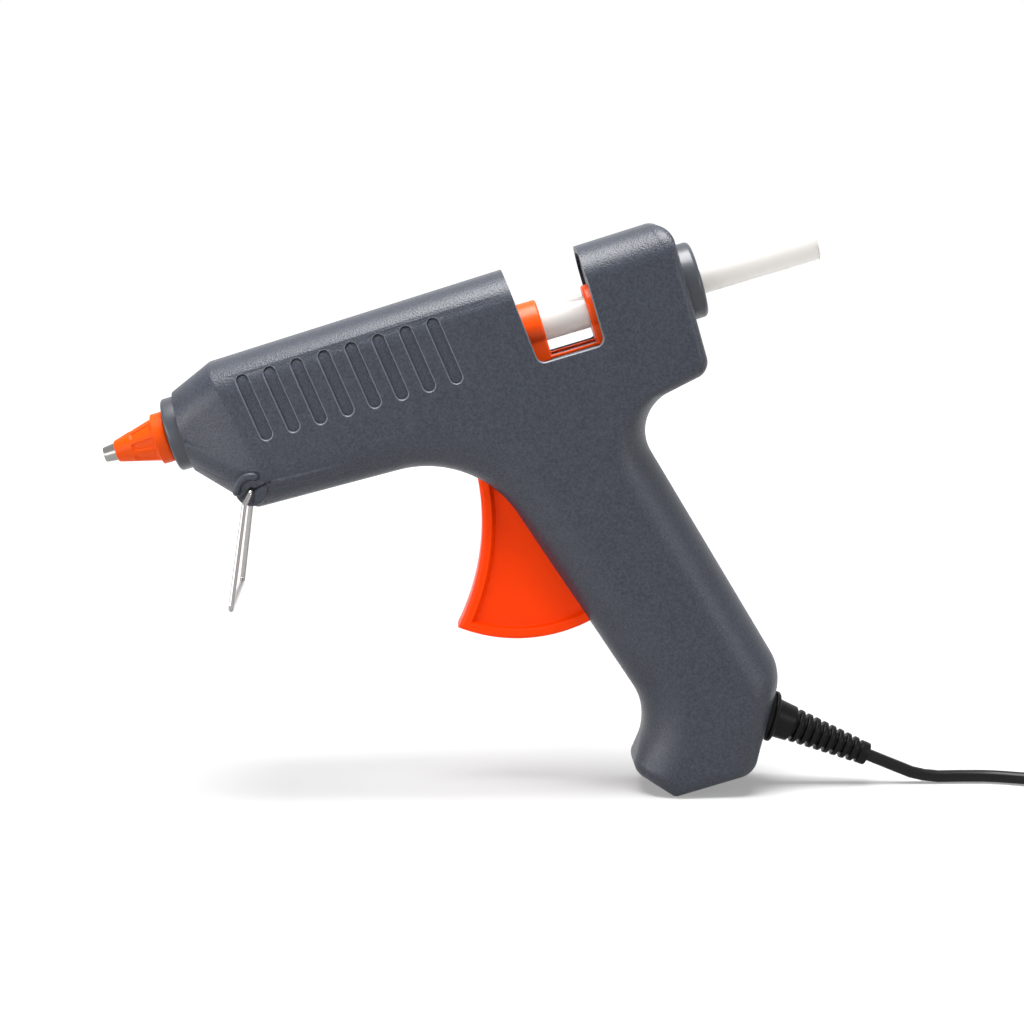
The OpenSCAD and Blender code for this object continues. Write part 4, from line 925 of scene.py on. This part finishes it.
# %% Trigger
RIM_HALF, RIM_SOFT, WEB_DROP = 6.5, 1.5, 2.2
LINK = np.array([140.588, -19.0])
arm = unit(LINK - PIVOT)
across_arm = np.array([-arm[1], arm[0]])
rim_steps = np.concatenate([np.linspace(0, RIM_SOFT, 12), np.linspace(1.7, 6, 26)])


def rim_half(edge):
    """Half thickness at a distance from the edge: rounded edge, flat rim, eased step to the web."""
    inside = np.maximum(RIM_SOFT ** 2 - np.maximum(RIM_SOFT - edge, 0) ** 2, 0)
    return RIM_HALF - (RIM_SOFT - np.sqrt(inside)) - WEB_DROP * eased((edge - 3.2) / 1.5)


def blade():
    """Rows go round the pivot; the first columns follow the hollow, the rest spread to the rear."""
    r = np.unique(np.concatenate([np.linspace(5, 48, 60), np.linspace(48, BLADE_R, 48)]))[:, None]
    gap = np.linalg.norm(HOLLOW - PIVOT)
    toward = math.atan2(*(HOLLOW - PIVOT)[::-1])
    reach = HOLLOW_R + rim_steps[None]
    near = toward + np.arccos(np.clip((r ** 2 + gap ** 2 - reach ** 2) / (2 * r * gap), -1, 1))
    rear = near[:, -1:] + (math.radians(270 + 17) - near[:, -1:]) * np.linspace(0, 1, 30)[None, 1:]
    angle = np.concatenate([near, rear], 1)
    x, z = PIVOT[0] + r * np.cos(angle), PIVOT[1] + r * np.sin(angle)
    edge = np.minimum(np.hypot(x - HOLLOW[0], z - HOLLOW[1]) - HOLLOW_R, BLADE_R - r)
    rows, columns = x.shape
    side = xyz(x, rim_half(edge), z).reshape(-1, 3)
    n = rows * columns
    ring = np.concatenate([
        np.arange(columns), np.arange(1, rows) * columns + columns - 1,
        np.arange(n - 2, n - columns - 1, -1), np.arange(rows - 2, 0, -1) * columns])
    faces = [*quads(rows, columns), *quads(rows, columns, first=n), *wall_of(ring, n)]
    return np.vstack([side, side * [1, -1, 1]]), faces


def horn():
    """The blade's top end: rim and web go on up along the hollow's arc, 0.04 mm lower."""
    a = np.radians(np.linspace(-11.5, -3.4, 16))[:, None]
    d = np.append(rim_steps, 12.0)
    half = rim_half(d) - 0.04
    reach, y = np.concatenate([d, d[::-1]]) + HOLLOW_R, np.concatenate([half, -half[::-1]])
    return tube(about(HOLLOW, reach, a, y))


def fork(y0, y1):
    """One arm of the fork: the outline round pivot and link pin, with their straight tangents."""
    a = np.linspace(-math.pi / 2, math.pi / 2, 25)[:, None]
    way = 3.7 * (np.cos(a) * arm + np.sin(a) * across_arm)
    return prism(np.vstack([LINK + way, PIVOT - way]), y0, y1)


hub = prism(circle(*PIVOT, 5.4, 64), -6.42, 6.42)
trigger = piece("trigger_blade", joined(blade(), horn(), hub, fork(2.8, 6.44), fork(-6.44, -2.8)),
                orange_finish, "trigger", "trigger", 32)
print("trigger blade", len(trigger.data.polygons), "faces")

# %% [markdown]
# The carriage carries the stick: two rings joined by two strips that slide on the rails, with a
# tongue below for the trigger's fork. The rings line both ends of the window. Each is one surface
# of the angle round the stick and the place along it, round above and square below; strips and
# tongue are rounded blocks.

# %% Feed carriage
RING_R, RING_HALF, RING_LOW, RING_BORE, RING_SOFT = 9.2, 8, 11.5, 6.2, 0.9


def feed_ring(x0, x1):
    """A ring round the stick: round at the top, straight at its sides down to the floor."""
    low = (math.atan2(-RING_LOW, RING_HALF),
           math.atan2(-math.sqrt(RING_R ** 2 - RING_HALF ** 2), RING_HALF))
    a = np.unique(np.concatenate([
        np.linspace(-math.pi, math.pi, 97)[:-1], low, [-math.pi - v for v in low]]))[:, None]
    box = np.minimum(RING_HALF / np.maximum(np.abs(np.cos(a)), 1e-6),
                     RING_LOW / np.maximum(-np.sin(a), 1e-6))
    outside = np.where(np.sin(a) > math.sin(low[1]) + 1e-9, RING_R, box)
    k = np.linspace(0, math.pi / 2, 7)
    back, drop = RING_SOFT * (1 - np.cos(k)), RING_SOFT * (1 - np.sin(k))
    x = np.concatenate([[x0], x0 + back, x1 - back[::-1], [x1]])
    r = outside - np.concatenate([[0], drop, drop[::-1], [0]])
    r[:, [0, -1]] = RING_BORE
    return torus(about_barrel(x, r, a))


strips = [([157.6, y, -11.5], [175.1, y + 0.8, -10.4]) for y in (-8, 7.2)]
tongue = [([x0, -2.4, z0], [x1, 2.4, z1]) for x0, x1, z0, z1 in (
    (135.2, 137.8, -24, -10.5), (143.4, 146, -24, -10.5), (135.2, 146, -24, -21.2),
    (135.2, 146, -16.6, -10.5))]
carriage_surface = joined(
    feed_ring(147.5, 158.2), feed_ring(174.5, 184), block([135.2, -8, -11.5], [148, 8, -9.9]),
    *(block(low, high, 0.3) for low, high in strips + tongue))
carriage = piece("carriage_rings", carriage_surface, ring_finish_painted_lit, "carriage", "carriage",
                 32)
print("carriage", len(carriage.data.polygons), "faces")

# %% [markdown]
# The stand is one piece of bright wire: both ends turn in across the nose, the legs spread to the
# foot and a bar joins them. Wire bends round a former, so each corner is a small arc, and the round
# section is carried along that line.

# %% Wire stand
WIRE_R = 0.9
stand_bend, stand_foot = STAND + 4.9 * heading(270 - 43), STAND + 40.4 * heading(270 - 26.4)
half_wire = [(STAND, 13), (STAND, 21), (stand_bend, 21.8), (stand_foot, 27.5)]
stand_path = softened(
    [[p[0], -y, p[1]] for p, y in half_wire] + [[p[0], y, p[1]] for p, y in half_wire[::-1]],
    [0, 1.8, 2.6, 1.7, 1.7, 2.6, 1.8, 0], 10, closed=False)
piece("wire_stand_bent", swept(stand_path, WIRE_R, 20, (0.89, 0.03, 0.45)), wire_finish, "stand",
      "wire_stand", 60)
wire_length = np.linalg.norm(np.diff(stand_path, axis=0), axis=1).sum()
print("stand wire", round(float(wire_length), 1), "mm long")

# %% [markdown]
# The gland is a soft rubber boot that keeps the cord from kinking at the grip: a flange against the
# housing, a smooth root, and a tapered tail with ribs so that it can bend. It is a turned profile
# about its own axis, with every rib's edge rounded.

# %% Cord gland
ROOT_END, RIBS, GROOVE, GROOVE_DEEP = 7.4, 8, 1.35, 1.7


def tail_r(g):
    """Radius of the tapered tail at a distance along it."""
    return (12.4 + (8.2 - 12.4) * (g - ROOT_END) / 29.6) / 2


def gland_profile():
    """Shoulder, flange, root, ribs and grooves, end ring: places along the axis and radii."""
    pitch = (GLAND_LEN - 4.6 - ROOT_END) / RIBS
    g = ROOT_END + pitch * np.arange(RIBS)
    places = np.stack([g, g + GROOVE, g + GROOVE, g + pitch], 1)
    floor_r = tail_r(g) - GROOVE_DEEP
    radii = np.stack([floor_r, floor_r, tail_r(g + GROOVE), tail_r(g + pitch)], 1)
    ribs = np.stack([places, radii], -1).reshape(-1, 2)
    head = [[-8.5, 2.2], [-8.5, 9.2], [-6.6, 9.2], [-6.6, 6], [-4, 6], [-4, 8.2], [0.3, 8.2],
            [0.3, 9], [2.1, 9], [2.1, 6.9], [ROOT_END, 6.4]]
    tail = [[32.4, 3.2], [33.6, 3.2], [33.6, 4.2], [GLAND_LEN, 4.1], [GLAND_LEN, 2.2]]
    head_soft = [0, 0.4, 0.4, 0, 0, 0.2, 0, 0.5, 0.8, 0.5, 0.35]
    soft = [*head_soft, *([0.2, 0.2, 0.4, 0.4] * RIBS), 0.2, 0.2, 0.3, 0.45, 0.2]
    return softened([*head, *ribs, *tail], soft, 4)


gland = torus(along_gland(gland_profile()))
piece("cord_gland_ribbed", gland, rubber_finish, "body", "cord_gland", 50)
print("gland", gland[0].shape)

# %% [markdown]
# At the far end of the lead is a moulded two-pin plug. Its body is a stack of rounded rectangles
# that widen from the cord to the pins, and the pins are rods with round tips. A strap holds the
# coil. All of these lie flat on the table, so they are written in the room's own frame.

# %% Plug, pins and tie
PIN_GAP, PIN_LONG, PIN_R = 19.0, 19, 2.0


def plug_shell():
    """Sections along the lead: each a rounded rectangle of its own width and height."""
    x = [-PLUG_BACK, -13.6, -9, -4, 0, 4, 10, 15, 22, 30, 32.6, 33.6, PLUG_FACE]
    wide = [2.6, 3.0, 3.7, 4.8, 6.6, 8.4, 11.2, 12.7, 13.4, 13.4, 13.2, 12.6, 11.6]
    tall = [2.6, 3.0, 3.7, 4.6, 5.5, 6.1, 6.6, 6.75, 6.8, 6.8, 6.7, 6.2, 5.4]
    fine = np.linspace(-PLUG_BACK, PLUG_FACE, 97)[:, None]
    a = angles(64)[None]
    power = np.interp(fine, [-PLUG_BACK, 0, 20], [1, 0.9, 0.55])
    notch = 0.45 * (np.abs((fine % 2.6) - 1.3) < 0.45) * ((fine > -12.5) & (fine < -1))
    y = (np.interp(fine, x, wide) - notch) * np.sign(np.cos(a)) * np.abs(np.cos(a)) ** power
    z = (np.interp(fine, x, tall) - notch) * np.sign(np.sin(a)) * np.abs(np.sin(a)) ** power
    return tube(xyz(PLUG_X + fine, PLUG_Y + y, PLUG_Z + z))


def pin_rod(y, x0, x1, r):
    """A rod along the plug's way with a rounded tip."""
    corners = [[x0, 0], [x0, r], [x1, r], [x1, 0]]
    x, radius = softened(corners, [0, 0.05, r * 0.9, 0], 10, closed=False).T
    grid = about_barrel(x, radius, angles(40)[:, None]) + [0, y, PLUG_Z]
    return grid, quads(*grid.shape[:2], True, False)


def strap():
    """A band round the bundle: a rounded rectangle in height and radius, 6 mm wide."""
    span, tall = COIL_PITCH * 1.5 + CORD_D + 0.2, COIL_PITCH * 3 + CORD_D + 0.7
    loops = []
    for more in (0.0, 0.8):
        x, z0, z1 = span / 2 + more, 0.8 - more, 0.8 + tall + more
        loops.append(softened([[-x, z0], [x, z0], [x, z1], [-x, z1]], 1.0 + more, 8))
    edges = [(loops[0], -3), (loops[1], -3), (loops[1], 3), (loops[0], 3)]
    return torus(np.stack([
        xyz(COIL_X - COIL_R - loop[:, 0], COIL_Y + w, loop[:, 1]) for loop, w in edges]))


plug_body = piece("plug_body_moulded", plug_shell(), rubber_finish, "body", "plug_body",
                  30, in_metres)
pins = joined(*(
    pin_rod(PLUG_Y + s * PIN_GAP / 2, PLUG_X + PLUG_FACE, PLUG_X + PLUG_FACE + PIN_LONG, PIN_R)
    for s in (-1, 1)))
plug_pins = piece("plug_pins_round", pins, brass_finish, "body", "plug_pins",
                  move=in_metres)
cord_tie = piece("cord_tie_strap", strap(), cord_finish, "body", "cord_tie",
                 move=in_metres)
print("plug at", round(PLUG_X, 1), round(PLUG_Y, 1), "mm")

# %% [markdown]
# The leads and the cord's end inside the grip are soft solids, so they get round tubes here as
# well. They are hidden in the closed gun, and show when a half shell is taken off.

# %% Leads inside the grip


def eased_line(points, fine=6):
    """A smooth line through points: between each two, a cubic that points along the neighbours."""
    p = np.asarray(points, float)
    slope = np.gradient(p, axis=0)
    t = np.linspace(0, 1, fine, endpoint=False)[None, :, None]
    a, b, m, n = p[:-1, None], p[1:, None], slope[:-1, None], slope[1:, None]
    curve = ((2 * t**3 - 3 * t**2 + 1) * a + (t**3 - 2 * t**2 + t) * m
             + (3 * t**2 - 2 * t**3) * b + (t**3 - t**2) * n)
    return np.vstack([curve.reshape(-1, 3), p[-1:]])


LEAD_R = 0.8
lead_start = gland_at - gland_dir * 24.1
LEAD_END = 98.2 + 6


def lead_line(s, tab):
    """The way of one lead, on side s, from the clamped cord up the grip to the heater."""
    return eased_line([
        [lead_start[0], 1.1 * s, lead_start[1]], [lead_start[0] - 4, 1.6 * s, lead_start[1] + 3.4],
        [172, 5 * s, -126], [171, 9 * s, -112], [169, 11.5 * s, -92], [166, 12.5 * s, -72],
        [160, 13 * s, -54], [150, 13 * s, -40], [138, 12.8 * s, -31.5], [124, 12 * s, -27],
        [LEAD_END + 8, 8 * s, -tab - 5], [LEAD_END + 2, 4.6 * s, -tab - 0.4],
        [LEAD_END - 1, 4 * s, -tab]])


for name, side, tab, material, slot in (
        ("live_lead", -1, 11.1, brown_finish, "brown"),
        ("neutral_lead", 1, 14.9, blue_finish, "blue")):
    wire = swept(lead_line(side, tab), LEAD_R, 10, (0, 1, 0.02))
    piece(name + "_wire", wire, material, "body", name, 60)
core = softened([[-24, 0.001], [-24, 2.2], [-8.5, 2.2], [-8.5, 0.001]], [0, 0.4, 0.1, 0], 4)
piece("inner_cord_end", torus(along_gland(core, 32)), cord_finish, "body", "inner_cord")
print("leads and inner cord in place")

# %% [markdown]
# The picture's light is a studio's: a white room and a wide soft light over the gun that draws a
# band along the barrel's rolled top. One light stands on each side for the grip's edges and the
# slot rims, a low one lifts the edges that face the floor, and a weak one stands in front. Floor
# and room look white to the camera and in reflections. The floor adds a little light of its own,
# more of it far from the gun where the lamps no longer reach, so it stays white up to the horizon
# and still takes the gun's soft shadow.

# %% Floor, room and lights
FLOOR_HALF = 6.0
ROOM_LIGHT = 0.1


def seen(net):
    """1 for rays that come from the camera, or from it by a gloss or through the stick, else 0."""
    kinds = [net.node("ShaderNodeLightPath", output=f"Is {kind} Ray")
             for kind in ("Camera", "Glossy", "Transmission")]
    return net.maths("MINIMUM", kinds[0] + kinds[1] + kinds[2], 1.0)


floor_finish = bpy.data.materials.new("floor_white")
floor_finish.use_nodes = True
floor_finish.node_tree.nodes.clear()
net = Link(floor_finish.node_tree)
matt = net.node("ShaderNodeBsdfDiffuse", {}, {"Color": (0.5, 0.5, 0.5, 1)})
here = net.node("ShaderNodeTexCoord", output="Object")
away = net.node("ShaderNodeVectorMath", {"operation": "LENGTH"}, {0: here}, 1)
far = net.maths("MINIMUM", net.maths("MAXIMUM", away * 1.4 - 0.5, 0.0), 1.0)
glow = net.node("ShaderNodeEmission", {}, {
    "Color": between(net, far, (0.29,) * 3, (1.0,) * 3), "Strength": seen(net)})
both = net.node("ShaderNodeAddShader", {}, {0: matt, 1: glow})
net.node("ShaderNodeOutputMaterial", {}, {"Surface": both})
square = np.array([[-1, -1, 0], [1, -1, 0], [1, 1, 0], [-1, 1, 0]]) * FLOOR_HALF
floor_mesh = mesh_of("floor", square, [(0, 1, 2, 3)])
floor_mesh.materials.append(floor_finish)
floor = put("floor", floor_mesh)

world = bpy.data.worlds.new("room")
scene.world = world
world.use_nodes = True
shade = next(n for n in world.node_tree.nodes if n.type == "BACKGROUND")
shade.inputs["Color"].default_value = (1, 1, 1, 1)
level = seen(Link(world.node_tree)) * (1 - ROOM_LIGHT) + ROOM_LIGHT
world.node_tree.links.new(level.socket, shade.inputs["Strength"])


def softbox(name, place, aim, size, power):
    """A square area light at a place, facing a point."""
    lamp = bpy.data.lights.new(name, "AREA")
    lamp.shape, lamp.size, lamp.energy = "SQUARE", size, power
    back = unit(np.asarray(place, float) - np.asarray(aim, float))
    side = unit(np.cross([0.02, 0.01, 1.0] if abs(back[2]) < 0.99 else [0, 1, 0], back))
    put(name, lamp).matrix_world = standing(side, back, place)


softbox("top_light", (-0.05, -0.1, 1.05), (0, 0, 0.12), 0.65, 24.0)
softbox("right_light", (0.95, -0.7, 0.3), (0.05, 0, 0.15), 0.3, 2.4)
softbox("left_light", (-1.05, -0.35, 0.15), (0, 0, 0.1), 0.5, 5.2)
softbox("front_light", (-0.3, -1.3, 0.7), (0, 0, 0.1), 0.9, 0.15)
softbox("low_light", (-0.45, -0.5, 0.05), (0.05, 0, 0.03), 0.4, 2.0)
print("lights", len(bpy.data.lights))
